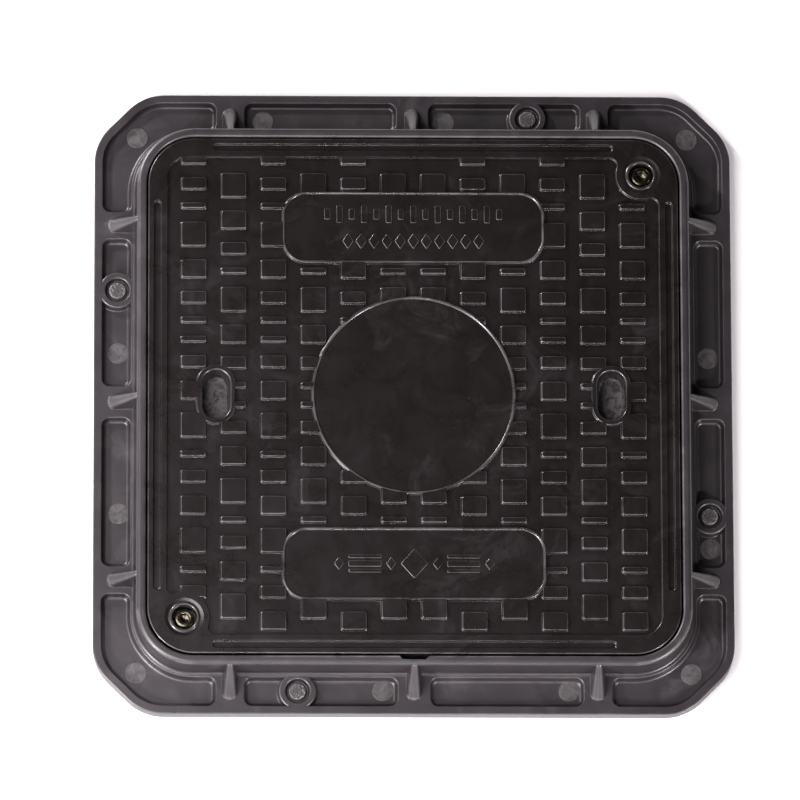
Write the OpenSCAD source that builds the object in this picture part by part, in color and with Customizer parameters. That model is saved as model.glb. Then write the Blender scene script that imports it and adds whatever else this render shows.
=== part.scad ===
// Square access cover and frame, moulded in polymer, for a light-duty inspection chamber.
// The lid drops into the frame, rests on a gasket and is held by two socket-head lock screws.
// Origin: centre of the frame's base, where it beds on the chamber. +Z is up, -Y is the front.

/* [Opening] */
// Clear opening through the frame, square
clear_w = 300; // [240:5:420]
// Corner radius of the clear opening
clear_r = 30; // [20:1:40]
// Width of the ledge that carries the lid, from the opening to the lid's edge
ledge_w = 16; // [15:0.5:22]
// Thickness of the ledge
ledge_t = 4; // [3.5:0.5:6]
// Height of the ledge's top above the base
ledge_z = 12; // [10:0.5:14]

/* [Frame] */
// Height of the frame, from its base to the top of the rim
frame_h = 30; // [27:0.5:42]
// Thickness of the rim round the lid
rim_w = 6.5; // [5:0.5:10]
// Corner radius of the rim, outside
rim_r = 36.5; // [34:0.5:45]
// Gap between the lid and the rim
lid_gap = 1; // [0.5:0.1:2]
// Width of the flange outside the rim
flange_w = 26.5; // [24:0.5:40]
// Height of the flange
flange_h = 10; // [8:0.5:13]
// Thickness of the flange's floor under its pockets
flange_floor = 5; // [3:0.5:6]
// Width of the flange's outer border
flange_edge = 4.5; // [3:0.5:8]
// Leg of the chamfer across each corner of the flange
corner_cut = 31; // [20:1:45]
// Radius that blends each end of the corner chamfer
corner_blend = 32; // [15:1:40]
// Wall thickness of the mouldings
wall = 4; // [3:0.5:5]
// Length of the pry notch in the front of the rim
notch_w = 19; // [10:1:40]
// Depth of the pry notch into the rim
notch_d = 2.4; // [1:0.2:3.6]

/* [Flange pockets] */
// Corner radius of the flange pockets
pocket_r = 4.5; // [2:0.5:6]
// Width of the land that carries each middle gusset
mid_land = 22; // [14:1:40]
// Width of the land that carries each side gusset
side_land = 19.5; // [12:0.5:30]
// Width of a gusset at its foot
gusset_w = 9.5; // [6:0.5:12]
// Width of a gusset's crest
gusset_crest = 3; // [1:0.5:5]
// Length of a gusset, out from the rim
gusset_l = 17.5; // [10:0.5:20]
// Radius of the round pad at each moulding gate
gate_pad_r = 12; // [9:0.5:14]
// Radius of the recess in a gate pad
gate_recess_r = 7.25; // [6:0.25:8]
// Radius of the cut gate stub that stands in the recess
gate_stub_r = 5.3; // [3:0.1:5.6]

/* [Lid] */
// Corner radius of the lid
lid_r = 29; // [22:1:38]
// Thickness of the lid's plate under the tread
plate_t = 4.2; // [3:0.2:7]
// Height of the tread above the plate
tread_h = 1.8; // [1:0.1:3]
// Width of the plain border round the tread
border_w = 12; // [10:0.5:20]
// Corner radius of the tread field
field_r = 13; // [6:1:20]
// Width of the long grooves in the border
groove_w = 4.2; // [2:0.2:6]
// Distance of the grooves' centre lines from the lid's edge
groove_inset = 5.8; // [4:0.2:8]
// Depth of the long grooves
groove_d = 1.6; // [0.6:0.1:2]
// Thickness of the ribs under the lid
rib_t = 3; // [2:0.5:4]
// Spacing of the ribs under the lid
rib_pitch = 36; // [26:1:40]
// Height of the deep ribs' lower edges above the frame's base
rib_z = 5; // [2:0.5:8]
// Gap between the deep ribs and the clear opening
rib_gap = 3; // [1.5:0.5:6]

/* [Tread] */
// Spacing of the columns of tread blocks
col_pitch = 25; // [20:1:32]
// Width of a tread block
block_w = 16; // [10:1:18]
// Lengths of the four tread blocks that repeat down a column
block_l = [4, 8, 12, 16]; // [2:1:18]
// Space between the tread blocks of a column
block_gap = 8.5; // [5:0.5:12]
// Where the pattern of every second column is mirrored, above the lid's middle
flip_y = 42.2; // [20:0.2:60]
// Diameter of the plain disc in the middle
disc_d = 128; // [80:1:150]
// Length of the two plain plaques
plaque_l = 165; // [100:1:190]
// Height of the two plain plaques
plaque_h = 47; // [30:1:50]
// Corner radius of the plaques
plaque_r = 16; // [6:1:20]
// Distance of the plaques' centre lines from the lid's edge
plaque_inset = 57.5; // [40:0.5:75]
// Width of the raised bead round the disc, the plaques and the key slots
bead_w = 1.8; // [1:0.1:3]
// Depth of the plain faces below their bead
face_d = 0.6; // [0.2:0.1:1.2]

/* [Key slots] */
// Width of a key slot
key_w = 18; // [12:0.5:22]
// Length of a key slot
key_l = 32; // [24:1:44]
// Width of the raised collar round a key slot
key_collar = 3; // [2:0.5:5]
// Depth of a key slot, from the top of the tread
key_depth = 13; // [9:0.5:14]
// Distance of the key slots' centre lines from the lid's edge
key_inset = 42.5; // [40:0.5:66]
// Wall of the cup under a key slot
key_wall = 3; // [2:0.5:4]
// Depth of the undercut that a lifting key hooks into
hook_d = 5; // [3:0.5:6]
// Width of that undercut
hook_w = 14; // [8:1:18]

/* [Lock screws] */
// Distance of each lock screw from the lid's two nearest edges
screw_inset = 23; // [20:0.5:30]
// Nominal thread diameter
screw_d = 8; // [6:1:10]
// Thread pitch
screw_pitch = 1.25; // [1:0.25:1.5]
// Diameter of the screw's head
head_d = 13; // [10:0.5:13.5]
// Height of the screw's head
head_h = 5; // [4:0.5:6]
// Size of the hexagon socket, across its flats
socket_af = 5; // [4:0.5:6]
// Depth of the hexagon socket
socket_depth = 3.2; // [2:0.2:3.4]
// Depth of the head's top below the lid's top
head_sink = 3; // [1:0.5:4]
// Length of the screw's tip beyond the lower end of its insert
screw_tip_l = 0; // [-2:0.5:1.5]
// Gap between the screw's head and its counterbore in the lid
bore_gap = 1.2; // [0.8:0.1:2]
// Radius of the plain lobe of the border round each screw
lobe_r = 15.8; // [13:0.1:18]
// Radius of the fillets that run the lobe into the border
lobe_fillet = 5; // [2:0.5:8]
// Radius of the frame's post under each screw
post_r = 13; // [10:0.5:14]
// Wall of the threaded insert, outside the thread
insert_wall = 1.5; // [1.2:0.1:2]
// Length of the threaded insert
insert_l = 10; // [7:0.5:10]
// Width of the insert's flange, outside the insert
insert_flange_w = 1.2; // [0.8:0.1:1.6]
// Thickness of the insert's flange
insert_flange_t = 1; // [0.8:0.1:1.5]

/* [Seals] */
// Width of the gasket under the lid
gasket_w = 3.6; // [2.5:0.1:5]
// Height that the gasket stands above the ledge
gasket_proud = 1; // [0.5:0.1:2]
// Depth of the gasket's groove
gasket_groove_d = 1.6; // [1:0.1:2]
// Corner radius of the gasket's centre line
gasket_r = 20; // [14:1:24]
// Thickness of the seal ring under each washer
seal_t = 1.5; // [1:0.1:2]
// Thickness of the flat washers
washer_t = 1.6; // [1:0.1:2]

/* [Hidden] */
$fn = 96;

PLASTIC = "#242223";
LID_PLASTIC = "#1f1c1b";
RUBBER = "#161616";
BRASS = "#b08d4a";
STEEL = "#8f8b80";

// Running clearance of the screw in its insert, on the radius
thread_fit = 0.05;
// Clearance of the insert's barrel in its hole, on the radius
insert_fit = 0.05;
// Clearance between pieces that lift apart, on the radius
loose_fit = 0.3;
// Clearance of the gasket in its groove, each side
gasket_fit = 0.2;
// Overlap that makes a cut run past the face it opens
over = 1;
// Depth that the members of one moulding run into each other
weld = 0.5;
// Depth that a fillet's arc runs into what it blends with, so that the two cross cleanly
bite = 0.02;

// Land left between the rim and the flange pockets
pocket_margin = 1.5;
// Drop of a gusset's crest below the top of the rim, and the depth of its root in the rim and flange
crest_drop = 1.5;
root_sink = 2;
// Drop of the gate recess's floor above the pockets' floor, and of the cut stub below the pad
gate_step = 1;
// Distance of the gasket's centre line from the lid's edge
gasket_inset = 9;
// Least wall between the gasket's groove and an insert
gasket_wall = 1;
// Distance of the gussets and the gate pads from the middle of a side, as shares of half the side
gusset_share = 0.66;
gate_share = 0.418;
// Height of the pry notch's floor above the ledge
notch_rise = 6;
// Wall outside the hollows under the ledge, and the lid's outer wall
core_wall = wall + 0.5;
skirt_wall = wall - 0.5;

// Half widths, measured out from the middle of the cover
clear_half = clear_w / 2;
lid_half = clear_half + ledge_w;
well_half = lid_half + lid_gap;
rim_half = well_half + rim_w;
frame_half = rim_half + flange_w;

// Heights above the base
seat_z = ledge_z + gasket_proud;
field_z = frame_h - tread_h;
plate_z = field_z - plate_t;
skirt_h = plate_z - seat_z;

// The lid's inner wall stands on the gasket, and is wider than it
gasket_half = lid_half - gasket_inset;
seat_wall_t = gasket_w + 1.4;

gusset_y = rim_half * gusset_share;
gate_y = rim_half * gate_share;
pocket_in = rim_half + pocket_margin;
pocket_out = frame_half - flange_edge;
pocket_mid = (pocket_in + pocket_out) / 2;

// The lock screws stand at two opposite corners
screw_at = lid_half - screw_inset;
screw_sides = [1, -1];
sleeve_r = post_r - 2;
bore_r = head_d / 2 + bore_gap;
insert_d = screw_d + 2 * insert_wall;
insert_flange_d = insert_d + 2 * insert_flange_w;
insert_bottom = ledge_z - insert_l;
head_top = frame_h - head_sink;
head_z = head_top - head_h;
washer_z = head_z - washer_t;
seal_z = washer_z - seal_t;
thread_r = screw_d / 2;
hole_r = thread_r + 0.5;
screw_tip = insert_bottom - screw_tip_l;

// The gasket turns each corner outside the insert that stands there
gasket_turn = min(gasket_r, (
    (gasket_half - screw_at) * sqrt(2)
    - insert_flange_d / 2 - gasket_w / 2 - gasket_fit - gasket_wall
) / (sqrt(2) - 1));

key_x = lid_half - key_inset;
key_floor = frame_h - key_depth;
plaque_y = lid_half - plaque_inset;

// The four lengths of block and their gaps make one repeat of the tread
repeat_l = block_l[0] + block_l[1] + block_l[2] + block_l[3] + 4 * block_gap;
field_half = lid_half - border_w;
columns = floor((field_half - block_w / 2) / col_pitch - 0.5);
blocks_each_way = 4 * ceil((field_half + flip_y) / repeat_l);

// Start of block k, counted out from the line where its column is mirrored
function block_start(k) =
    block_gap / 2 + floor(k / 4) * repeat_l
    + (k % 4 > 0 ? block_l[0] + block_gap : 0)
    + (k % 4 > 1 ? block_l[1] + block_gap : 0)
    + (k % 4 > 2 ? block_l[2] + block_gap : 0);

function unit(v) = v / norm(v);

// Half of the angle between the two edges that meet at corner i of an outline
function half_angle(pts, i) =
    let (n = len(pts),
         a = unit(pts[(i + n - 1) % n] - pts[i]),
         b = unit(pts[(i + 1) % n] - pts[i]))
    acos(a * b) / 2;

// Points where the arc at corner i leaves its two edges
function tangents(pts, i, r) =
    let (n = len(pts), run = r / tan(half_angle(pts, i)))
    [
        pts[i] + unit(pts[(i + n - 1) % n] - pts[i]) * run,
        pts[i] + unit(pts[(i + 1) % n] - pts[i]) * run,
    ];

// Centre of the arc at corner i
function arc_centre(pts, i, r) =
    let (n = len(pts),
         a = unit(pts[(i + n - 1) % n] - pts[i]),
         b = unit(pts[(i + 1) % n] - pts[i]))
    pts[i] + unit(a + b) * r / sin(half_angle(pts, i));

// A convex outline whose corners are all rounded to radius r
module rounded(pts, r) {
    polygon([for (i = [0 : len(pts) - 1]) for (p = tangents(pts, i, r)) p]);
    for (i = [0 : len(pts) - 1]) translate(arc_centre(pts, i, r)) circle(r);
}

// A square given by its half width, with rounded corners
module round_square(half, r) {
    square([2 * half, 2 * (half - r)], center = true);
    square([2 * (half - r), 2 * half], center = true);
    for (x = [-1, 1], y = [-1, 1]) translate([x, y] * (half - r)) circle(r);
}

// A rectangle between two corners, with rounded corners
module round_rect(low, high, r) {
    translate(low + [r, 0]) square([high.x - low.x - 2 * r, high.y - low.y]);
    translate(low + [0, r]) square([high.x - low.x, high.y - low.y - 2 * r]);
    for (x = [low.x + r, high.x - r], y = [low.y + r, high.y - r]) translate([x, y]) circle(r);
}

// A slot that runs along Y, given by its width and overall length
module slot(w, l) {
    square([w, l - w], center = true);
    for (y = [-1, 1]) translate([0, y * (l - w) / 2]) circle(w / 2);
}

module ring(outer, inner) {
    difference() {
        circle(outer);
        circle(inner);
    }
}

// Places its children at one lock screw: side 1 is at the back right, side -1 at the front left
module at_screw(side) {
    translate([side * screw_at, side * screw_at]) children();
}

module at_screws() {
    for (side = screw_sides) at_screw(side) children();
}

// Turns its children to each side of the cover
module each_side() {
    for (turn = [0 : 90 : 270]) rotate(turn) children();
}

/* Frame */

// The flange's outline, a square with blended chamfers, drawn in by inset
module flange_outline(inset = 0) {
    half = frame_half - inset;
    // A chamfer that is drawn in by the same distance as the sides
    cut = corner_cut - inset * (2 - sqrt(2));
    rounded([
        [half, half - cut], [half - cut, half], [-half + cut, half], [-half, half - cut],
        [-half, -half + cut], [-half + cut, -half], [half - cut, -half], [half, -half + cut],
    ], corner_blend - inset);
}

// The two straight pockets of the side that faces +X
module side_pockets() {
    difference() {
        for (y = [-1, 1]) mirror([0, y < 0 ? 1 : 0]) {
            round_rect([pocket_in, mid_land / 2], [pocket_out, gusset_y - side_land / 2], pocket_r);
        }
        translate([pocket_mid, -gate_y]) circle(gate_pad_r);
    }
}

// The pocket that turns the corner between +X and +Y
module corner_pocket() {
    start = gusset_y + side_land / 2;
    // The four corners where the pocket ends, each with the way out of the pocket
    ends = [
        [[start, pocket_in], [-1, -1]], [[start, pocket_out], [-1, 1]],
        [[pocket_in, start], [-1, -1]], [[pocket_out, start], [1, -1]],
    ];
    difference() {
        intersection() {
            flange_outline(flange_edge);
            translate([start, start]) square(frame_half);
        }
        round_square(pocket_in, rim_r + pocket_margin);
        // Each corner is cut away from the centre of its arc outwards
        for (e = ends) translate(e[0] - e[1] * pocket_r) {
            polygon([[0, 0], [e[1].x, 0], e[1], [0, e[1].y]] * (pocket_r + over));
        }
    }
    for (e = ends) translate(e[0] - e[1] * pocket_r) circle(pocket_r);
}

// A tapered web that props the rim, standing on the flange that faces +X
module gusset() {
    root = rim_half - root_sink;
    tip = rim_half + gusset_l;
    foot = flange_h - root_sink;
    crest = frame_h - crest_drop;
    intersection() {
        // Side view, full height at the rim and low at the tip
        rotate([90, 0, 0]) linear_extrude(gusset_w, center = true) {
            polygon([[root, foot], [tip, foot], [tip, flange_h + 1], [rim_half, crest], [root, crest]]);
        }
        // Section across it, wide at the foot and narrow at the crest
        translate([root, 0, 0]) rotate([90, 0, 90]) linear_extrude(tip - root) polygon([
            [-gusset_w / 2, foot], [gusset_w / 2, foot],
            [gusset_crest / 2, frame_h], [-gusset_crest / 2, frame_h],
        ]);
        // Plan, with a round tip
        translate([0, 0, foot]) linear_extrude(frame_h) {
            translate([root, -gusset_w / 2]) square([tip - root - gusset_w / 2, gusset_w]);
            translate([tip - gusset_w / 2, 0]) circle(gusset_w / 2);
        }
    }
}

// The hollows under the ledge, between its webs and the screw posts
module ledge_cores() {
    difference() {
        round_square(rim_half - core_wall, rim_r - core_wall);
        round_square(clear_half + wall, clear_r + wall);
        for (p = [rib_pitch / 2 : rib_pitch : clear_half - clear_r + rib_pitch / 2]) {
            for (s = [-1, 1]) {
                translate([s * p, 0]) square([rib_t, 2 * frame_half], center = true);
                translate([0, s * p]) square([2 * frame_half, rib_t], center = true);
            }
        }
        at_screws() circle(post_r);
    }
}

// The hollow under the land of one gusset
module land_core(y, land) {
    low = [pocket_in, y - land / 2 + wall];
    translate(low) square([pocket_out - low.x - over, land - 2 * wall]);
}

module frame() {
    insert_z = ledge_z - insert_flange_t;
    color(PLASTIC) difference() {
        union() {
            linear_extrude(flange_h) flange_outline();
            linear_extrude(frame_h) round_square(rim_half, rim_r);
            each_side() for (y = [-gusset_y, 0, gusset_y]) translate([0, y, 0]) gusset();
        }
        // Well that the lid drops into
        translate([0, 0, ledge_z]) linear_extrude(frame_h) round_square(well_half, lid_r + lid_gap);
        // Clear opening, with the screw posts left standing
        translate([0, 0, -over]) linear_extrude(frame_h) difference() {
            round_square(clear_half, clear_r);
            at_screws() circle(post_r);
        }
        // Groove for the gasket
        translate([0, 0, ledge_z - gasket_groove_d]) linear_extrude(frame_h) {
            gasket_outline(gasket_w / 2 + gasket_fit);
        }
        // Pockets in the flange
        translate([0, 0, flange_floor]) linear_extrude(frame_h) each_side() {
            side_pockets();
            corner_pocket();
        }
        // Recess round each cut gate
        each_side() translate([pocket_mid, -gate_y, flange_floor + gate_step]) difference() {
            cylinder(r = gate_recess_r, h = frame_h);
            cylinder(r = gate_stub_r, h = flange_h - flange_floor - 2 * gate_step);
        }
        // Hollows in the underside
        translate([0, 0, -over]) linear_extrude(over + ledge_z - ledge_t) ledge_cores();
        translate([0, 0, -over]) linear_extrude(over + flange_h - flange_floor) each_side() {
            land_core(0, mid_land);
            for (y = [-gusset_y, gusset_y]) land_core(y, side_land);
        }
        // Seats for the threaded inserts
        at_screws() {
            translate([0, 0, -over]) cylinder(d = insert_d + 2 * insert_fit, h = frame_h);
            translate([0, 0, insert_z]) cylinder(d = insert_flange_d + 0.2, h = frame_h);
        }
        // Pry notch in the front of the rim
        translate([0, -well_half, ledge_z + notch_rise]) linear_extrude(frame_h) polygon([
            [-notch_w / 2, over], [notch_w / 2, over], [notch_w / 2, 0],
            [notch_w / 2 - notch_d, -notch_d], [-notch_w / 2 + notch_d, -notch_d], [-notch_w / 2, 0],
        ]);
    }
}

/* Gasket and inserts */

// A band along the gasket's centre line, half_w to each side of it
module gasket_outline(half_w) {
    difference() {
        round_square(gasket_half + half_w, gasket_turn + half_w);
        round_square(gasket_half - half_w, gasket_turn - half_w);
    }
}

module seat_gasket() {
    color(RUBBER) translate([0, 0, ledge_z - gasket_groove_d]) {
        linear_extrude(gasket_groove_d + gasket_proud) gasket_outline(gasket_w / 2);
    }
}

// Brass insert set in a post, with rings that grip the plastic
module threaded_insert(side) {
    ring_h = (insert_l - insert_flange_t) / 7;
    color(BRASS) at_screw(side) difference() {
        union() {
            translate([0, 0, ledge_z - insert_flange_t]) {
                cylinder(d = insert_flange_d, h = insert_flange_t);
            }
            translate([0, 0, insert_bottom]) cylinder(d = insert_d - 1, h = insert_l - weld);
            for (i = [0 : 2 : 6]) {
                translate([0, 0, insert_bottom + i * ring_h]) cylinder(d = insert_d, h = ring_h);
            }
        }
        translate([0, 0, -over]) cylinder(r = thread_r + thread_fit, h = frame_h);
    }
}

/* Lid */

module lid_outline() {
    round_square(lid_half, lid_r);
}

// Fillet between the lobe round a screw and the edge of the field, in the screw's own place
module lobe_corner() {
    edge = field_half - screw_at;
    run = lobe_fillet - bite;
    y = edge - run;
    x = -sqrt(pow(lobe_r + run, 2) - y * y);
    difference() {
        polygon([[x, edge + over], [0, edge + over], [0, 0], [x, y]]);
        translate([x, y]) circle(lobe_fillet);
    }
}

// The part of the lid that is sunk between the tread blocks
module field_outline() {
    difference() {
        round_square(field_half, field_r);
        at_screws() circle(lobe_r);
        for (side = [0, 180]) rotate(side) translate([screw_at, screw_at]) {
            lobe_corner();
            mirror([1, -1]) lobe_corner();
        }
    }
}

// One column of blocks, mirrored about y = middle
module tread_column(middle) {
    for (k = [0 : blocks_each_way - 1], way = [-1, 1]) {
        length = block_l[k % 4];
        y = middle + way * (block_start(k) + length / 2);
        if (abs(y) - length / 2 < field_half) {
            // A block that reaches the border runs on under it
            translate([0, y]) square([block_w, length], center = true);
        }
    }
}

module tread_blocks() {
    for (i = [0 : columns], side = [-1, 1]) {
        translate([side * (i + 0.5) * col_pitch, 0]) tread_column(i % 2 == 0 ? 0 : flip_y);
    }
}

// The plaques, drawn in by inset
module plaques(inset = 0) {
    half = [plaque_l, plaque_h] / 2 - [inset, inset];
    for (side = [-1, 1]) translate([0, side * plaque_y]) {
        round_rect(-half, half, plaque_r - inset);
    }
}

module key_slots(grow) {
    for (side = [-1, 1]) translate([side * key_x, 0]) slot(key_w + 2 * grow, key_l + 2 * grow);
}

// Everything that stands at the full height of the tread
module tread_outline() {
    difference() {
        union() {
            difference() {
                lid_outline();
                field_outline();
            }
            intersection() {
                tread_blocks();
                round_square(field_half + 1, field_r + 1);
            }
            circle(disc_d / 2);
            plaques();
            key_slots(key_collar);
        }
        circle(disc_d / 2 - bead_w);
        plaques(bead_w);
    }
}

// The long grooves in the border, one along each side
module border_grooves() {
    length = 2 * (lid_half - lid_r - groove_inset - 6);
    each_side() translate([lid_half - groove_inset, 0]) slot(groove_w, length);
}

// The grid of ribs, centred on the lid
module rib_grid() {
    lines = floor(lid_half / rib_pitch);
    for (i = [-lines : lines]) {
        translate([i * rib_pitch, 0]) square([rib_t, 2 * lid_half], center = true);
        translate([0, i * rib_pitch]) square([2 * lid_half, rib_t], center = true);
    }
}

// The area of the ribs that reach down into the clear opening, drawn in by inset
module deep_area(inset = 0) {
    difference() {
        round_square(clear_half - rib_gap - inset, clear_r - rib_gap - inset);
        at_screws() circle(post_r + rib_gap - 1 + inset);
    }
}

module lid_ribs() {
    // Shallow ribs, out to the lid's edge
    translate([0, 0, seat_z]) linear_extrude(skirt_h + weld) {
        intersection() {
            rib_grid();
            round_square(lid_half - rib_t / 2, lid_r - rib_t / 2);
        }
        gasket_outline(seat_wall_t / 2);
        at_screws() circle(sleeve_r);
        difference() {
            lid_outline();
            round_square(lid_half - skirt_wall, lid_r - skirt_wall);
        }
    }
    // Deep ribs, inside the clear opening
    translate([0, 0, rib_z]) linear_extrude(plate_z - rib_z + weld) {
        intersection() {
            rib_grid();
            deep_area();
        }
        difference() {
            deep_area();
            deep_area(rib_t);
        }
    }
}

// The closed cup under each key slot, with a thicker wall outboard for the undercut
module key_cups() {
    for (side = [-1, 1]) translate([side * key_x, 0, key_floor - key_wall]) {
        linear_extrude(plate_z - key_floor + key_wall + weld) {
            slot(key_w + 2 * key_wall, key_l + 2 * key_wall);
            translate([side * (key_w + hook_d + key_wall) / 2, 0]) {
                square([hook_d + key_wall, hook_w + 2 * key_wall], center = true);
            }
        }
    }
}

module key_hollows() {
    translate([0, 0, key_floor]) linear_extrude(frame_h) key_slots(0);
    // The undercut runs outboard from the slot's middle, below the lid's plate
    length = key_w / 2 + hook_d;
    for (side = [-1, 1]) translate([side * (key_x + length / 2), 0, (key_floor + plate_z) / 2]) {
        cube([length, hook_w, plate_z - key_floor], center = true);
    }
}

module lid() {
    color(LID_PLASTIC) difference() {
        union() {
            translate([0, 0, plate_z]) linear_extrude(plate_t) lid_outline();
            translate([0, 0, field_z - weld]) linear_extrude(tread_h + weld) tread_outline();
            // Plain faces of the disc and the plaques
            translate([0, 0, field_z - weld]) linear_extrude(tread_h + weld - face_d) {
                circle(disc_d / 2 - bead_w / 2);
                plaques(bead_w / 2);
            }
            lid_ribs();
            key_cups();
        }
        key_hollows();
        translate([0, 0, frame_h - groove_d]) linear_extrude(frame_h) border_grooves();
        at_screws() {
            translate([0, 0, -over]) cylinder(r = hole_r, h = 2 * frame_h);
            translate([0, 0, seal_z]) cylinder(r = bore_r, h = frame_h);
        }
    }
}

/* Lock screws */

module seal_ring(side) {
    color(RUBBER) at_screw(side) translate([0, 0, seal_z]) {
        linear_extrude(seal_t) ring(bore_r - loose_fit, thread_r + loose_fit);
    }
}

module washer(side) {
    color(STEEL) at_screw(side) translate([0, 0, washer_z]) {
        linear_extrude(washer_t) ring(bore_r - loose_fit, thread_r + loose_fit);
    }
}

// Half section of the screw, from its axis out, with ring grooves for the thread
module screw_section() {
    root_r = thread_r - 0.6 * screw_pitch;
    turns = floor((head_z - screw_tip - 2.5) / screw_pitch);
    polygon(concat(
        [[0, screw_tip], [root_r - 0.4, screw_tip], [root_r, screw_tip + 0.6]],
        [
            for (i = [0 : turns - 1], p = [[root_r, 0.1], [thread_r, 0.5], [thread_r, 0.7], [root_r, 1]])
            [p.x, screw_tip + 0.6 + (i + p.y) * screw_pitch]
        ],
        [
            [thread_r, screw_tip + 0.6 + (turns + 0.4) * screw_pitch], [thread_r, head_z],
            [head_d / 2, head_z], [head_d / 2, head_top - 0.8], [head_d / 2 - 0.8, head_top],
            [0, head_top],
        ]
    ));
}

module lock_screw(side) {
    color(STEEL) at_screw(side) difference() {
        rotate_extrude() screw_section();
        translate([0, 0, head_top - socket_depth]) {
            cylinder(d = socket_af / cos(30), h = socket_depth + over, $fn = 6);
        }
    }
}

frame();
lid();
seat_gasket();
threaded_insert(1);  // threaded_insert_right
threaded_insert(-1);  // threaded_insert_left
seal_ring(1);  // seal_ring_right
seal_ring(-1);  // seal_ring_left
washer(1);  // washer_right
washer(-1);  // washer_left
lock_screw(1);  // lock_screw_right
lock_screw(-1);  // lock_screw_left
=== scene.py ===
"""Square access cover and frame: the visual model of each piece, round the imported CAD."""

import math
import random

import bmesh
import bpy
from bpy.props import FloatProperty, FloatVectorProperty, IntProperty, PointerProperty
from mathutils import Matrix, Vector, noise


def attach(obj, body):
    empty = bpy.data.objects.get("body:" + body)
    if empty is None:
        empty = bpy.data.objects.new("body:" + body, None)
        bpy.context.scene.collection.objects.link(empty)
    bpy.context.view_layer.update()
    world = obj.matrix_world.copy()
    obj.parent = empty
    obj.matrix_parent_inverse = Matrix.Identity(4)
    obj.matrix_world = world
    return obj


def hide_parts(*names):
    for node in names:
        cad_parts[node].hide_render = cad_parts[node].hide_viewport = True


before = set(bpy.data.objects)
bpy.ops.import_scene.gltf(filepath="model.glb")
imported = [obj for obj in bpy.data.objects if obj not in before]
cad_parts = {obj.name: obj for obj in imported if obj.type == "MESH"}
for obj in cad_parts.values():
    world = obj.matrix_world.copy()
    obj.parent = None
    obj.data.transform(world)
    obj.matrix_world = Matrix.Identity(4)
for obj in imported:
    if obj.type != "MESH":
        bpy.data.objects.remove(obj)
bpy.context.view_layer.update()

bl_info = {
    "name": "Square access cover",
    "version": (1, 0, 0),
    "blender": (4, 5, 0),
    "location": "3D View > Sidebar > Cover",
    "description": "Builds a treaded access cover, its frame and its fixings in place",
    "category": "Object",
}

MM = 0.001
# Arcs stray from a true circle by this much at most, in millimetres
ARC_ERROR = 0.012
# Two faces that would lie in one plane are kept this far apart, in millimetres
SHY = 0.02
# Steps of a rounded edge
ROUND = [math.radians(a) for a in (0, 30, 60, 90)]
# Steps of a turned ring
RING_STEPS = 96
# Chord error of small parts that are seen from afar, in millimetres
COARSE = 0.04
# Edges sharper than this, in degrees, stay sharp
SHARP = 32
# Vertices nearer than this are merged, in metres
WELD = 0.4e-6
# What the camera aims at: height above the base, and how far left and up of it, in millimetres
AIM_HEIGHT, AIM_LEFT, AIM_UP = 15, 8.3, 0.5
LAMP_TINT = (1.0, 0.94, 0.975)


# ------------------------------------------------------------------ sizes and colours


def length(name, description, mm):
    """A length property whose default is given in millimetres."""
    return FloatProperty(
        name=name, description=description, default=mm * MM, min=0.0, precision=5, unit="LENGTH"
    )


def colour(name, description, rgb):
    """A colour property."""
    return FloatVectorProperty(
        name=name, description=description, default=rgb, size=3, min=0.0, max=1.0, subtype="COLOR"
    )


class CoverFrameSizes(bpy.types.PropertyGroup):
    """Sizes of the moulded frame. Half widths are measured from the middle of the cover."""

    outer_half: length("Flange half width", "Half of the frame's overall width", 200)
    corner_cut: length("Corner chamfer", "Leg of the chamfer across each corner of the flange", 31)
    corner_blend: length("Chamfer blend", "Radius at each end of the corner chamfer", 32)
    rim_half: length("Rim half width", "Half width of the rim, outside", 173.5)
    rim_r: length("Rim corner radius", "Corner radius of the rim, outside", 36.5)
    well_half: length("Well half width", "Half width of the well that holds the lid", 167)
    well_r: length("Well corner radius", "Corner radius of the well", 30)
    clear_half: length("Opening half width", "Half of the clear opening", 150)
    clear_r: length("Opening corner radius", "Corner radius of the clear opening", 30)
    height: length("Height", "Height of the rim above the base", 30)
    ledge_z: length("Ledge height", "Height of the ledge that carries the lid", 12)
    flange_h: length("Flange height", "Height of the flange above the base", 10)
    floor_z: length("Pocket floor", "Height of the floors of the flange pockets", 5)
    pocket_r: length("Pocket corner radius", "Corner radius of the flange pockets", 4.2)
    pocket_in: length("Pocket inner side", "Distance of their inner side from the middle", 177.5)
    pocket_out: length("Pocket outer side", "Distance of their outer side from the middle", 193.9)
    mid_land: length("Middle land", "Width of the land under each middle gusset", 22)
    side_land: length("Side land", "Width of the land under each side gusset", 19.5)
    gusset_at: length("Gusset offset", "Distance from the middle of a side", 114.51)
    gusset_w: length("Gusset width", "Width of a gusset at its foot", 9.5)
    gusset_crest: length("Gusset crest", "Width of a gusset's crest", 3)
    gusset_l: length("Gusset length", "Length of a gusset, out from the rim", 17.5)
    gate_at: length("Gate offset", "Distance from the middle of its side", 72.52)
    gate_x: length("Gate distance", "Distance from the middle of the cover", 185.25)
    pad_r: length("Gate pad radius", "Radius of the round pad at each gate", 12)
    recess_r: length("Gate recess radius", "Radius of the recess in a gate pad", 7.25)
    stub_r: length("Gate stub radius", "Radius of the cut stub in the recess", 5.3)
    pin_r: length("Ejector mark radius", "Radius of the flat marks of the ejector pins", 6.6)
    notch_w: length("Pry notch width", "Length of the notch along the front of the rim", 19)
    notch_d: length("Pry notch depth", "Depth of the notch into the rim", 2.4)
    edge: length("Edge rounding", "Radius of the frame's moulded edges", 1.0)


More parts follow.
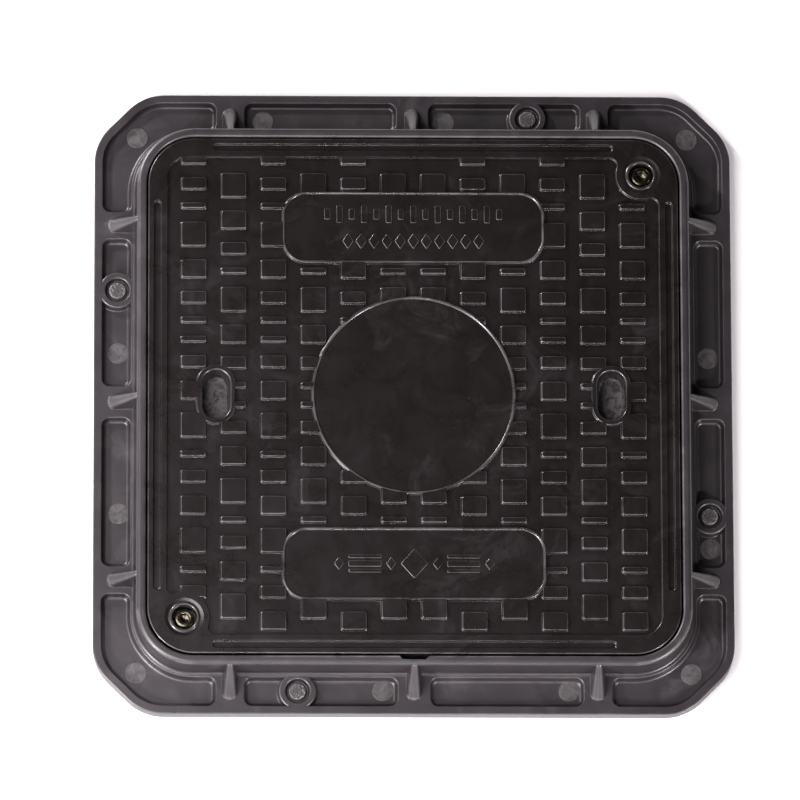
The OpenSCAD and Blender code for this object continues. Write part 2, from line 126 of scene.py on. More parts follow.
class CoverLidSizes(bpy.types.PropertyGroup):
    """Sizes of the moulded lid."""

    half: length("Lid half width", "Half of the lid's width", 166)
    corner_r: length("Lid corner radius", "Corner radius of the lid", 29)
    top: length("Top", "Height of the tread above the frame's base", 30)
    seat_z: length("Seat", "Height of the gasket's top, where the lid rests", 13)
    field_z: length("Field", "Height of the sunk field between the tread blocks", 28.2)
    plate_z: length("Plate underside", "Height of the plate's underside", 24)
    rib_z: length("Rib foot", "Height of the deep ribs' lower edges", 5)
    rib_t: length("Rib thickness", "Thickness of the ribs", 3)
    rib_pitch: length("Rib spacing", "Spacing of the ribs", 36)
    border: length("Border width", "Width of the plain border round the tread", 12)
    field_r: length("Field corner radius", "Corner radius of the sunk field", 13)
    groove_in: length("Groove inset", "Distance of the border grooves from the lid's edge", 5.8)
    groove_w: length("Groove width", "Width of the border grooves", 4.2)
    groove_l: length("Groove length", "Length of the border grooves", 250.4)
    groove_d: length("Groove depth", "Depth of the border grooves", 1.6)
    column: length("Column spacing", "Spacing of the columns of tread blocks", 25)
    block_w: length("Block width", "Width of a tread block", 16)
    block_step: length("Block step", "How much each of the four block lengths adds to the last", 4)
    block_gap: length("Block gap", "Space between the blocks of a column", 8.5)
    flip_y: length("Mirror line", "Where every second column is mirrored, above the middle", 42.2)
    disc_r: length("Disc radius", "Radius of the plain disc", 64)
    plaque_w: length("Plaque width", "Width of the two plaques", 165)
    plaque_h: length("Plaque height", "Height of the two plaques", 47)
    plaque_r: length("Plaque corner radius", "Corner radius of the plaques", 16)
    plaque_at: length("Plaque offset", "Distance of the plaques from the middle", 108.5)
    bead: length("Bead width", "Width of the raised bead round the disc and plaques", 1.8)
    face_d: length("Face depth", "Depth of the plain faces below their bead", 0.6)
    key_at: length("Key slot offset", "Distance of the key slots from the middle", 123.5)
    key_w: length("Key slot width", "Width of a key slot", 18)
    key_l: length("Key slot length", "Length of a key slot", 32)
    key_collar: length("Key collar", "Width of the raised collar round a key slot", 3)
    key_z: length("Key slot floor", "Height of the key slots' floor", 17)
    hook_w: length("Undercut width", "Width of the undercut for a lifting key", 14)
    hook_d: length("Undercut depth", "Depth of the undercut for a lifting key", 5)
    screw_at: length("Screw offset", "Distance of the lock screws from the middle, both ways", 143)
    lobe_r: length("Lobe radius", "Radius of the plain lobe round each screw", 15.8)
    lobe_fillet: length("Lobe fillet", "Radius that runs a lobe into the border", 5)
    bore_r: length("Counterbore radius", "Radius of the counterbore of each screw", 7.7)
    bore_z: length("Counterbore floor", "Height of the counterbore's floor", 18.9)
    hole_r: length("Screw hole radius", "Radius of the hole under the counterbore", 4.5)
    edge: length("Edge rounding", "Radius of the tread's moulded edges", 0.42)


class CoverFixingSizes(bpy.types.PropertyGroup):
    """Sizes of the lock screws, washers, seal rings, inserts and the gasket."""

    thread_r: length("Thread radius", "Outer radius of the screw's thread", 4)
    thread_d: length("Thread depth", "Depth of the thread", 0.7)
    pitch: length("Pitch", "Thread pitch", 1.25)
    tip_z: length("Tip height", "Height of the screw's tip above the base", 2)
    washer_z: length("Washer height", "Height of the washer's underside", 20.4)
    head_z: length("Head underside", "Height of the underside of the screw's head", 22)
    head_top: length("Head top", "Height of the top of the screw's head", 27)
    head_r: length("Head radius", "Radius of the screw's head", 6.5)
    socket_af: length("Socket size", "Hexagon socket across its flats", 5)
    socket_d: length("Socket depth", "Depth of the hexagon socket", 3.2)
    ring_in: length("Ring inner radius", "Inner radius of the washers and seal rings", 4.3)
    ring_out: length("Ring outer radius", "Outer radius of the washers and seal rings", 7.4)
    insert_r: length("Insert radius", "Outer radius of the insert's knurl", 5.5)
    insert_bore: length("Insert bore", "Radius of the insert's bore", 4.05)
    insert_z: length("Insert foot", "Height of the insert's lower end", 2)
    insert_top: length("Insert top", "Height of the insert's flange, on the ledge", 12)
    flange_r: length("Insert flange radius", "Radius of the insert's flange", 6.7)
    flange_t: length("Insert flange thickness", "Thickness of the insert's flange", 1)
    gasket_half: length("Gasket half width", "Half width of the gasket's centre line", 157)
    gasket_r: length("Gasket corner radius", "Corner radius of the gasket's centre line", 20)
    gasket_w: length("Gasket width", "Width of the gasket", 3.6)
    gasket_z: length("Gasket foot", "Height of the floor of the gasket's groove", 10.4)


class CoverFinishes(bpy.types.PropertyGroup):
    """Colours of the finishes."""

    lid_dark: colour("Lid", "Body colour of the lid's polymer", (0.0026, 0.0014, 0.0012))
    lid_pale: colour("Lid bloom", "Paler bloom on the lid's polymer", (0.0056, 0.0040, 0.0040))
    frame_dark: colour("Frame", "Body colour of the frame's polymer", (0.0092, 0.0074, 0.0086))
    frame_pale: colour("Frame bloom", "Paler bloom on its polymer", (0.0215, 0.0186, 0.0206))
    # This colour also paints the corner glints and the painted light on the lid's key-slot floors.
    scuff: colour("Scuffs", "Colour of fine scuffs in the polymer", (0.075, 0.070, 0.070))
    rubber: colour("Rubber", "Colour of the gasket and seal rings", (0.012, 0.012, 0.012))
    steel: colour("Steel", "Colour of the dulled, olive-passivated steel", (0.15, 0.138, 0.10))
    brass: colour("Brass", "Colour of the brass inserts", (0.66, 0.47, 0.20))
    floor: colour("Floor", "Colour of the studio floor", (0.80, 0.81, 0.805))


class CoverStage(bpy.types.PropertyGroup):
    """Camera and lights."""

    azimuth: FloatProperty(
        name="Azimuth", description="Turn of the camera round the cover, 0 from the front",
        default=math.radians(-5.364), subtype="ANGLE",
    )
    elevation: FloatProperty(
        name="Elevation", description="Height of the camera above the horizon",
        default=math.radians(75.231), subtype="ANGLE",
    )
    roll: FloatProperty(
        name="Roll", description="Turn of the camera about its own axis",
        default=math.radians(5.371), subtype="ANGLE",
    )
    distance: length("Distance", "Distance of the camera", 7000)
    lens: FloatProperty(
        name="Lens", description="Focal length of the camera",
        default=503.6, unit="CAMERA",
    )
    seed: IntProperty(name="Seed", description="Seed of the rough edges and gates", default=7)


class Millimetres:
    """Reads the lengths of a property group in millimetres."""

    def __init__(self, group):
        self.group = group

    def __getattr__(self, name):
        return round(getattr(self.group, name) / MM, 4)


# ------------------------------------------------------------------ outlines, in millimetres


def arc(centre, r, start, stop, error=ARC_ERROR):
    """Points along an arc, its ends included. Angles are in degrees."""
    start, stop = math.radians(start), math.radians(stop)
    steps = max(3, math.ceil(abs(stop - start) / (2 * math.acos(1 - min(error / r, 0.5)))))
    angles = [start + (stop - start) * k / steps for k in range(steps + 1)]
    return [Vector((centre[0] + r * math.cos(a), centre[1] + r * math.sin(a))) for a in angles]


def circle(r, centre=(0, 0)):
    """A full circle, counter-clockwise."""
    count = max(24, math.ceil(math.pi / math.acos(1 - ARC_ERROR / r)))
    turn = 2 * math.pi / count
    return [
        Vector((centre[0] + r * math.cos(k * turn), centre[1] + r * math.sin(k * turn)))
        for k in range(count)
    ]


def turns(count):
    """Angles that share out a full turn."""
    return [2 * math.pi * k / count for k in range(count)]


def rounded(corners, radii, error=ARC_ERROR):
    """A closed outline whose corners are turned by arcs. It may have corners that turn inwards."""
    count = len(corners)
    radii = radii if isinstance(radii, (list, tuple)) else [radii] * count
    outline = []
    for i, r in enumerate(radii):
        p = Vector(corners[i])
        a = (Vector(corners[i - 1]) - p).normalized()
        b = (Vector(corners[(i + 1) % count]) - p).normalized()
        half = a.angle(b) / 2
        centre = p + (a + b).normalized() * (r / math.sin(half))
        first = p + a * (r / math.tan(half)) - centre
        last = p + b * (r / math.tan(half)) - centre
        start = math.degrees(math.atan2(first.y, first.x))
        turn = (math.degrees(math.atan2(last.y, last.x)) - start + 180) % 360 - 180
        outline += arc(centre, r, start, start + turn, error)
    return outline


def box_outline(x0, y0, x1, y1, r, error=ARC_ERROR):
    """A rectangle between two corners, with rounded corners."""
    return rounded([(x0, y0), (x1, y0), (x1, y1), (x0, y1)], r, error)


def square_outline(half, r):
    """A rounded square about the middle of the cover."""
    return box_outline(-half, -half, half, half, r)


def slot_outline(w, l, centre=(0, 0)):
    """A slot along Y with round ends."""
    x, y = centre
    end = (l - w) / 2
    return arc((x, y - end), w / 2, 180, 360) + arc((x, y + end), w / 2, 0, 180)


def inset(outline, by):
    """The outline drawn in by a distance, or out if it is negative, point for point."""
    moved = []
    for i, p in enumerate(outline):
        a = (p - outline[i - 1]).normalized()
        b = (outline[(i + 1) % len(outline)] - p).normalized()
        inwards = Vector((-a.y - b.y, a.x + b.x)) / max(1 + a.dot(b), 0.2)
        moved.append(p + inwards * by)
    return moved


def reach(half, r, offset):
    """How far a rounded square reaches along a line that far from its middle."""
    past = abs(offset) - (half - r)
    return half if past <= 0 else half - r + math.sqrt(max(r * r - past * past, 0))


# ------------------------------------------------------------------ shells, in millimetres


def loft(rings, closed=False):
    """A closed shell through rings of points, capped at its ends or closed into a band."""
    size, count = len(rings[0]), len(rings)
    points = [tuple(p) for ring in rings for p in ring]
    faces = []
    for i in range(count if closed else count - 1):
        a, b = i * size, (i + 1) % count * size
        faces += [(a + k, a + (k + 1) % size, b + (k + 1) % size, b + k) for k in range(size)]
    if not closed:
        faces.append(tuple(reversed(range(size))))
        faces.append(tuple(range((count - 1) * size, count * size)))
    return points, faces


def prism(outline, profile, closed=False):
    """An upright shell. The profile gives (inset, height) pairs, from the bottom up."""
    return loft([[(p.x, p.y, z) for p in inset(outline, by)] for by, z in profile], closed)


def turned(shells, quarters=(0, 1, 2, 3)):
    """Copies of the shells, turned by quarters about the middle of the cover."""
    copies = []
    for quarter in quarters:
        c, s = [(1, 0), (0, 1), (-1, 0), (0, -1)][quarter]
        for points, faces in shells:
            copies.append(([(x * c - y * s, x * s + y * c, z) for x, y, z in points], faces))
    return copies


def shifted(shells, x, y):
    """Copies of the shells, moved sideways."""
    return [([(px + x, py + y, z) for px, py, z in points], faces) for points, faces in shells]


def foot(by, z, r):
    """Quarter round at the foot of a body, from its underside out to its side."""
    return [(by + r * (1 - math.sin(t)), z + r * (1 - math.cos(t))) for t in ROUND]


def shoulder(by, z, r):
    """Quarter round at the top of a body, from its side in to its top."""
    return [(by + r * (1 - math.cos(t)), z - r * (1 - math.sin(t))) for t in ROUND]


def raised(surface, top, round_r, foot_r, draft, sink=0.6):
    """Profile of something that stands on a surface, with a fillet at its foot."""
    profile = [(-foot_r - SHY, surface - sink), (-foot_r - SHY, surface - SHY)]
    profile += [
        (-foot_r + foot_r * math.sin(t), surface + foot_r * (1 - math.cos(t))) for t in ROUND[1:]
    ]
    return profile + shoulder(draft, top, round_r)


def sunk(floor, surface, round_r, floor_r, draft):
    """Profile of a tool that cuts down to a floor, rounds the floor's corner and the rim."""
    rim = [(-by, z) for by, z in shoulder(draft, surface, round_r)[:-1]]
    edge = -draft - round_r
    return foot(0, floor, floor_r) + rim + [(edge, surface + SHY), (edge, surface + 1)]


def slab(low, top, low_r, top_r):
    """Profile of a body that stands free, rounded at its foot and its top."""
    return foot(0, low, low_r) + shoulder(0, top, top_r)


def hung(low, plate):
    """Profile of something that hangs from the lid's plate."""
    return [(0.9, low), (0.3, low + 0.3), (0, low + 0.9), (-0.2, plate - 1), (-1, plate + 0.3)]


def section(w, low, top, low_r, top_r):
    """Closed profile of a band, w wide about its centre line."""
    half = w / 2
    side = [(-by, z) for by, z in foot(-half, low, low_r) + shoulder(-half, top, top_r)]
    return side + [(-by, z) for by, z in reversed(side)]


def mesh_of(name, shells):
    """One mesh of several closed shells, with every face outwards."""
    points, faces = [], []
    for more, sides in shells:
        faces += [tuple(i + len(points) for i in face) for face in sides]
        points += more
    mesh = bpy.data.meshes.new(name)
    mesh.from_pydata(points, [], faces)
    bm = bmesh.new()
    bm.from_mesh(mesh)
    bmesh.ops.recalc_face_normals(bm, faces=bm.faces)
    bm.to_mesh(mesh)
    bm.free()
    return mesh


class Moulding:
    """A solid that shells are added to and cut from."""

    def __init__(self, name, shells):
        self.object = bpy.data.objects.new(name, mesh_of(name, shells))
        bpy.context.scene.collection.objects.link(self.object)

    def _combine(self, shells, operation):
        tool = Moulding("tool", shells).object
        change = self.object.modifiers.new("combine", "BOOLEAN")
        change.solver, change.operation, change.object = "MANIFOLD", operation, tool
        graph = bpy.context.evaluated_depsgraph_get()
        result = bpy.data.meshes.new_from_object(self.object.evaluated_get(graph))
        if not result.polygons:
            raise RuntimeError(f"{self.object.name}: the {operation.lower()} left nothing")
        self.object.modifiers.clear()
        spent, self.object.data = self.object.data, result
        bpy.data.meshes.remove(spent)
        bpy.data.meshes.remove(tool.data)
        return self

    def add(self, shells):
        """Fuses the shells to the solid. They don't overlap one another."""
        return self._combine(shells, "UNION")

    def cut(self, shells):
        """Cuts the shells out of the solid. They don't overlap one another."""
        return self._combine(shells, "DIFFERENCE")

    def shells(self):
        """The solid as shells, for use as a tool. The solid itself is removed."""
        mesh = self.object.data
        points = [tuple(v.co) for v in mesh.vertices]
        faces = [tuple(face.vertices) for face in mesh.polygons]
        bpy.data.objects.remove(self.object)
        return [(points, faces)]


def wear_at(v):
    """Wear and painted glint at a point: wear up to 0.4 along a rounded outer edge, and up to 1.5
    at a corner, where the extra is a painted highlight that stands in for a glint.
    """
    narrow, corner_bend = 0.8 * MM, 1.1
    if any(2 * face.calc_area() > narrow * face.calc_perimeter() for face in v.link_faces):
        return 0.0
    bend = sum(e.calc_face_angle_signed(0.0) for e in v.link_edges)
    return max(0.0, min(0.4, bend / 2.5)) + max(0.0, min(1.1, (bend - corner_bend) * 2.4))


def piece(moulding, body, material, nodes, pale_at=None):
    """Turns a solid into a finished piece: metres, smooth faces, body, material and node."""
    o = moulding.object
    mesh = o.data
    mesh.name = o.name
    mesh.transform(Matrix.Scale(MM, 4))
    bm = bmesh.new()
    bm.from_mesh(mesh)
    bmesh.ops.remove_doubles(bm, verts=bm.verts, dist=WELD)
    bmesh.ops.dissolve_degenerate(bm, edges=bm.edges, dist=WELD)
    for face in bm.faces:
        face.smooth = True
    for edge in bm.edges:
        edge.smooth = len(edge.link_faces) == 2 and edge.calc_face_angle() < math.radians(SHARP)
    # The wear layer holds edge wear, and a painted highlight at corners that stands in for glints.
    worn, pale = bm.verts.layers.float.new("worn"), bm.verts.layers.float.new("pale")
    for v in bm.verts:
        v[worn] = wear_at(v)
        # The pale layer holds moulding marks on the frame, and painted light on the lid's key-slot
        # floors.
        v[pale] = pale_at(v.co / MM) if pale_at else 0.0
    bm.to_mesh(mesh)
    bm.free()
    mesh.materials.clear()
    mesh.materials.append(material)
    weights = o.modifiers.new("Even shading", "WEIGHTED_NORMAL")
    weights.mode, weights.weight, weights.keep_sharp = "FACE_AREA", 95, True
    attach(o, body)
    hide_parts(*nodes)
    return o


# ------------------------------------------------------------------ finishes


class Value:
    """A shader value. Arithmetic on it adds Math nodes to its finish."""

    def __init__(self, finish, socket):
        self.finish, self.socket = finish, socket

    def _math(self, operation, first, second, clamp=False):
        settings = {"operation": operation, "use_clamp": clamp}
        return self.finish.node("Math", settings, {0: first, 1: second})

    def __add__(self, other):
        return self._math("ADD", self, other)

    __radd__ = __add__

    def __mul__(self, other):
        return self._math("MULTIPLY", self, other)

    __rmul__ = __mul__

    def within(self):
        """The value held between 0 and 1."""
        return self._math("ADD", self, 0.0, True)


class Graph:
    """A node tree that is filled through one method."""

    def __init__(self, owner):
        owner.use_nodes = True
        self.tree = owner.node_tree
        self.tree.nodes.clear()

    def node(self, kind, settings=None, sockets=None, output=0):
        """Adds any node: its settings first, then the values or links of its sockets."""
        made = self.tree.nodes.new("ShaderNode" + kind)
        for name, value in (settings or {}).items():
            if name == "stops":
                elements = made.color_ramp.elements
                for at, level in value[1:-1]:
                    elements.new(at).color = (level, level, level, 1.0)
                for element, (at, level) in ((elements[0], value[0]), (elements[-1], value[-1])):
                    element.position = at
                    element.color = (level, level, level, 1.0)
            else:
                setattr(made, name, value)
        for name, value in (sockets or {}).items():
            self.feed(made.inputs[name], value)
        return None if output is None else Value(self, made.outputs[output])

    def feed(self, socket, value):
        """Links a value to a socket, or sets the socket's own value."""
        if isinstance(value, Value):
            self.tree.links.new(value.socket, socket)
        else:
            socket.default_value = value

    def ramp(self, value, *stops):
        """The value through a ramp of (place, level) stops."""
        return self.node("ValToRGB", {"stops": stops}, {0: value})


class Finish(Graph):
    """A material built round one Principled shader."""

    def __init__(self, name, **constants):
        self.material = bpy.data.materials.new(name)
        super().__init__(self.material)
        self.shader = self.tree.nodes.new("ShaderNodeBsdfPrincipled")
        output = self.tree.nodes.new("ShaderNodeOutputMaterial")
        self.tree.links.new(self.shader.outputs[0], output.inputs[0])
        for socket, value in constants.items():
            self.shader.inputs[socket.replace("_", " ")].default_value = value
        self.place = self.node("TexCoord", output="Object")

    def attribute(self, name):
        """A value stored on the mesh."""
        return self.node("Attribute", {"attribute_name": name}, output="Fac")

    def spread(self, scale, turn=(0, 0, 0)):
        """The object's coordinates, stretched and turned."""
        return self.node("Mapping", {}, {"Vector": self.place, "Scale": scale, "Rotation": turn})

    def noise(self, scale, detail=4.0, rough=0.55, swirl=0.0, place=None):
        """Cloudy noise, about 1 / scale metres across."""
        return self.node(
            "TexNoise", {"normalize": True},
            {"Vector": place or self.place, "Scale": scale, "Detail": detail,
             "Roughness": rough, "Distortion": swirl},
        )

    def blend(self, factor, first, second):
        """Mixes two colours."""
        def rgba(c):
            return c if isinstance(c, Value) else (*c[:3], 1.0)
        return self.node(
            "Mix", {"data_type": "RGBA"}, {0: factor, 6: rgba(first), 7: rgba(second)}, 2
        )

    def bump(self, height, strength, depth, under=None):
        """A normal from a height, over another normal where one is given."""
        sockets = {"Height": height, "Strength": strength, "Distance": depth}
        if under:
            sockets["Normal"] = under
        return self.node("Bump", {}, sockets)

    def done(self, **sockets):
        """Feeds the shader and returns the material."""
        for name, value in sockets.items():
            self.feed(self.shader.inputs[name.replace("_", " ")], value)
        return self.material


def polymer(name, dark, pale, scuff, roughness, scuffing):
    """Glossy black polymer with bloom, smudges, scuffs, edge wear with painted highlights at the
    corners for glints, and paler moulding marks and painted light where the mesh is marked pale.
    """
    f = Finish(name, Specular_IOR_Level=0.62)
    edge, mark = f.attribute("worn"), f.attribute("pale")
    cloud = f.noise(6.0, 6.0, 0.6, 1.2)
    mottle = f.noise(42.0, 6.0, 0.68, 0.8)
    fine = f.noise(520.0, 4.0, 0.7)
    cast = f.noise(190.0, 5.0, 0.75, 1.0)
    bloom = f.ramp(cloud * 0.6 + mottle * 0.4, (0.36, 0.0), (0.68, 1.0))
    smudge = f.ramp(f.noise(23.0, 8.0, 0.74, 1.2), (0.54, 0.0), (0.76, 1.0))
    streak = f.ramp(
        f.noise(1.0, 4.0, 0.62, 2.4, f.spread((50.0, 330.0, 90.0), (0, 0, 0.7))),
        (0.58, 0.0), (0.76, 1.0),
    )
    speck = f.ramp(fine, (0.66, 0.0), (0.80, 1.0))
    scuffed = ((smudge * 0.28 + streak * smudge * 0.6 + speck * 0.25) * scuffing).within()
    # Painted highlight: rounded edges are whitened as wear, and corners much more, as a stand-in
    # for glints.
    rubbed_and_glint = (edge * f.ramp(mottle, (0.38, 0.25), (0.62, 1.0)) * 0.75).within()
    body = f.blend(bloom, dark, pale)
    body = f.blend(scuffed, body, scuff)
    body = f.blend(rubbed_and_glint, body, [c * 1.8 for c in scuff])
    # Paleness from the mesh: real moulding marks on the frame, painted light on the lid's key-slot
    # floors; both blend to the same pale colour, mottled.
    body = f.blend((mark * f.ramp(cast, (0.40, 0.03), (0.72, 0.95))).within(), body, scuff)
    ripple = f.bump(f.noise(85.0, 3.0, 0.5), 0.16, 0.0009)
    grain = f.bump(fine * 0.6 + mark * cast * 2.0, 0.12, 0.0003, ripple)
    return f.done(
        Base_Color=body,
        Roughness=(roughness + mottle * 0.12 + scuffed * 0.25 + mark * 0.18).within(),
        Normal=grain,
    )


def rubber(name, tint):
    """Matt moulded rubber with a dusty bloom."""
    f = Finish(name, Specular_IOR_Level=0.35)
    dust = f.ramp(f.noise(60.0, 6.0, 0.6), (0.42, 0.0), (0.72, 1.0))
    skin = f.noise(2600.0, 3.0, 0.6)
    pale = [min(c * 3.2 + 0.01, 1.0) for c in tint]
    return f.done(
        Base_Color=f.blend(dust * 0.7, tint, pale),
        Roughness=0.62 + dust * 0.2,
        Normal=f.bump(skin, 0.25, 0.0002),
    )


def turned_metal(name, tint, dirt, roughness):
    """Turned metal with a dull film, fine rings and grime."""
    f = Finish(name, Metallic=1.0)
    film = f.ramp(f.noise(420.0, 5.0, 0.65, 0.6), (0.38, 0.0), (0.66, 1.0))
    rings = f.noise(1.0, 2.0, 0.5, 0.0, f.spread((300.0, 300.0, 9000.0)))
    dark = [c * dirt for c in tint]
    return f.done(
        Base_Color=f.blend(film, tint, dark),
        Roughness=(roughness + film * 0.16 + rings * 0.06).within(),
        Normal=f.bump(rings, 0.10, 0.00002),
    )


def floor_paper(name, tint):
    """Matt studio paper with a faint tooth."""
    f = Finish(name, Roughness=0.9, Specular_IOR_Level=0.1)
    tooth = f.noise(900.0, 3.0, 0.6)
    return f.done(
        Base_Color=f.blend(tooth * 0.3, tint, [c * 0.99 for c in tint]),
        Normal=f.bump(tooth, 0.05, 0.0001),
    )


# ------------------------------------------------------------------ the frame


def flange_outline(s, by=0.0):
    """The flange's outline, a square with blended chamfers, drawn in by a distance."""
    half = s.outer_half - by
    cut = s.corner_cut - by * (2 - math.sqrt(2))
    corners = [
        (half, -half + cut), (half, half - cut), (half - cut, half), (-half + cut, half),
        (-half, half - cut), (-half, -half + cut), (-half + cut, -half), (half - cut, -half),
    ]
    return rounded(corners, s.corner_blend - by)


def corner_pocket(s):
    """Outline of the pocket that turns the corner between +X and +Y."""
    start = s.gusset_at + s.side_land / 2
    by = s.outer_half - s.pocket_out
    cut = s.pocket_out - s.corner_cut + by * (2 - math.sqrt(2))
    inner, outer, blend = s.pocket_in, s.pocket_out, s.corner_blend - by
    corners = [
        (outer, start), (outer, cut), (cut, outer), (start, outer), (start, inner),
        (inner, inner), (inner, start),
    ]
    r = s.pocket_r
    return rounded(corners, [r, blend, blend, r, r, s.rim_r + inner - s.rim_half, r])


def gusset(s, y):
    """A tapered web that props the rim, on the side that faces +X."""
    tip, rim = s.rim_half + s.gusset_l, s.rim_half
    low, top, foot = s.flange_h - 2, s.height - 1.5, s.flange_h
    slope = foot + 1
    flares = {low: 0.6, foot - SHY: 0.6, foot + 0.15: 0.32, foot + 0.45: 0.1, foot + 0.9: 0.0}
    heights = sorted(flares) + [12.5, 15, 18, 21, 24, 26.5, top - 0.6, top - 0.2, top]
    rings = []
    for z in heights:
        share = (z - low) / (s.height - low)
        flare = flares.get(z, 0.0) - {top: 0.5, top - 0.2: 0.2}.get(z, 0.0)
        w = (s.gusset_w + (s.gusset_crest - s.gusset_w) * share) / 2 + flare
        nose = tip - (tip - rim) * max(z - slope, 0) / (top - slope) + flare
        nose = max(nose, rim - 0.3)
        root = rim - 2.2
        nub = min(w, nose - root - 0.05)
        bend = [math.radians(-90 + 12 * k) for k in range(16)]
        ring = [(nose - nub + nub * math.cos(a), y + w * math.sin(a), z) for a in bend]
        rings.append([(root, y - w, z), *ring, (root, y + w, z)])
    return loft(rings)


def cut_stub(r, low, top, rng):
    """A gate stub that was cut off roughly."""
    around = turns(40)
    rings = [[(r * math.cos(a), r * math.sin(a), z) for a in around] for z in (low, top - 0.8)]
    for share in (0.97, 0.9, 0.8, 0.7, 0.58, 0.46, 0.34, 0.22, 0.1):
        ring = []
        for a in around:
            x, y = r * share * math.cos(a), r * share * math.sin(a)
            rough = noise.noise(Vector((x * 1.3 + rng, y * 1.3, 0))) * 0.45
            rough += noise.noise(Vector((x * 3.1, y * 3.1 + rng, 4))) * 0.25
            ring.append((x, y, top - 0.25 - (share > 0.93) * 0.3 + rough * min(1, 1.2 * share)))
        rings.append(ring)
    return loft(rings)


def pry_notch(s, rng):
    """The notch in the front of the rim, with edges roughened by use."""
    at, w, d = -s.well_half, s.notch_w / 2, s.notch_d
    corners = [(-w, 2), (-w, 0), (-w + d, -d), (w - d, -d), (w, 0), (w, 2)]
    outline = []
    for i, corner in enumerate(corners):
        a, b = Vector(corner), Vector(corners[(i + 1) % len(corners)])
        steps = max(1, round((b - a).length / 0.7)) if i in (1, 2, 3) else 1
        for k in range(steps):
            p = a.lerp(b, k / steps)
            p += Vector((rng.uniform(-1, 1), rng.uniform(-1, 1))) * (0.10 if steps > 1 else 0)
            outline.append(p + Vector((0, at)))
    floor = s.ledge_z + 6
    return prism(outline, sunk(floor, s.height, 0.45, 0.4, 0.1))


def ledge_hollows(s):
    """The hollows under the ledge, before their webs and posts are put back."""
    tool = Moulding("hollows", [prism(
        square_outline(s.rim_half - 4.5, s.rim_r - 4.5),
        [(-0.3, -1), (-0.3, -SHY), (0, 0.3), (0.5, 7.0), (0.8, 7.7), (1.5, 8)],
    )])
    tool.cut([prism(
        square_outline(s.clear_half + 4, s.clear_r + 4),
        [(0.3, -2), (0.3, -SHY), (0, 0.3), (-0.5, 7.0), (-0.8, 7.7), (-1.5, 8), (-1.5, 9)],
    )])
    return tool.shells()


def ejector_marks():
    """Where the ejector pins left their flat marks."""
    corners = [(x, y) for x in (-173.0, 173.0) for y in (-173.0, 173.0)]
    return corners + [
        (-94, 184), (20, 184), (185, 30.6), (185.7, -92.6),
        (-19.4, -184), (96.7, -184), (-184.6, 32.6), (-184, -71),
    ]


def flange_and_rim(s, gates):
    """The flange with its pockets, gate pads and gussets, and the rim as a solid block."""
    end, near = s.gusset_at - s.side_land / 2, s.mid_land / 2
    m = Moulding("frame_moulding", [prism(flange_outline(s), slab(0, s.flange_h, 0.3, 0.8))])
    rim = raised(s.flange_h, s.height, 2.7, 2.4, 0.35, 5)
    m.add([prism(square_outline(s.rim_half, s.rim_r), rim)])
    pocket = sunk(s.floor_z, s.flange_h, 0.8, 1.9, 0.7)
    m.cut(turned([
        prism(box_outline(s.pocket_in, near, s.pocket_out, end, s.pocket_r), pocket),
        prism(box_outline(s.pocket_in, -end, s.pocket_out, -near, s.pocket_r), pocket),
        prism(corner_pocket(s), pocket),
    ]))
    pad = raised(s.floor_z, s.flange_h - SHY, s.edge, 1.2, 0.4, 2)
    m.add(turned([prism(circle(s.pad_r, gates), pad)]))
    return m.add(turned([gusset(s, y) for y in (-s.gusset_at, 0, s.gusset_at)]))


def cut_well(m, s, screws):
    """Cuts the lid's well, the clear opening and the hollows, and adds the webs and posts."""
    well, ledge = sunk(s.ledge_z, s.height, 1.5, 0.6, 0.1), s.ledge_z
    m.cut([prism(square_outline(s.well_half, s.well_r), well)])
    m.cut([prism(
        square_outline(s.clear_half, s.clear_r),
        [(-0.3, -1), (-0.3, -SHY), (0, 0.3), (0, ledge - 0.5), (-0.07, ledge - 0.25),
         (-0.25, ledge - 0.07), (-0.5, ledge + SHY), (-0.5, ledge + 2)],
    )])
    m.cut(ledge_hollows(s))
    web = [(0.5, 0.1), (0.2, 0.4), (0, 6.8), (-0.4, 7.6), (-0.9, 8.3)]
    m.add(turned([
        prism(box_outline(152, y - 1.5, 171, y + 1.5, 0.3), web) for y in range(-126, 127, 36)
    ]))
    post = [(0.4, 0.15), (0, 0.6), (0, ledge - 0.4), (0.3, ledge - SHY)]
    m.add([prism(circle(13, at), post) for at in screws])
    hollow = [(-0.3, -1), (-0.3, -SHY), (0, 0.3), (0.3, 4.2), (0.9, 5)]
    m.cut(turned([
        prism(box_outline(s.pocket_in, y - land / 2 + 4, 194.5, y + land / 2 - 4, 1.5), hollow)
        for y, land in ((0, s.mid_land), (s.gusset_at, s.side_land), (-s.gusset_at, s.side_land))
    ]))


def cut_seats(m, s, f, screws):
    """Cuts the gasket's groove and the holes of the threaded inserts."""
    groove = section(f.gasket_w + 0.4, f.gasket_z, s.ledge_z + 2, 0.3, 0.2)
    m.cut([prism(square_outline(f.gasket_half, f.gasket_r), groove, closed=True)])
    m.cut([prism(circle(f.insert_r + 0.05, at), [(0, -1), (0, 14)]) for at in screws])
    seat = [(0, 11), (0, 11.8), (-0.25, s.ledge_z + SHY), (-0.25, 14)]
    m.cut([prism(circle(f.flange_r + 0.1, at), seat) for at in screws])


def add_gates(m, s, gates, rng):
    """Cuts the recess of each gate, and adds the rough stubs and the flat ejector marks."""
    recess = sunk(6, s.flange_h, s.edge, 0.7, 0.3)
    m.cut(turned([prism(circle(s.recess_r, gates), recess)]))
    stubs = []
    for quarter in range(4):
        stub = shifted([cut_stub(s.stub_r, 5, 9, rng.uniform(0, 50))], *gates)
        stubs += turned(stub, (quarter,))
    m.add(stubs)
    mark = [(0, 4.4), (0, 5.16), (0.06, 5.27), (0.18, 5.32)]
    m.add([prism(circle(s.pin_r, at), mark) for at in ejector_marks()])


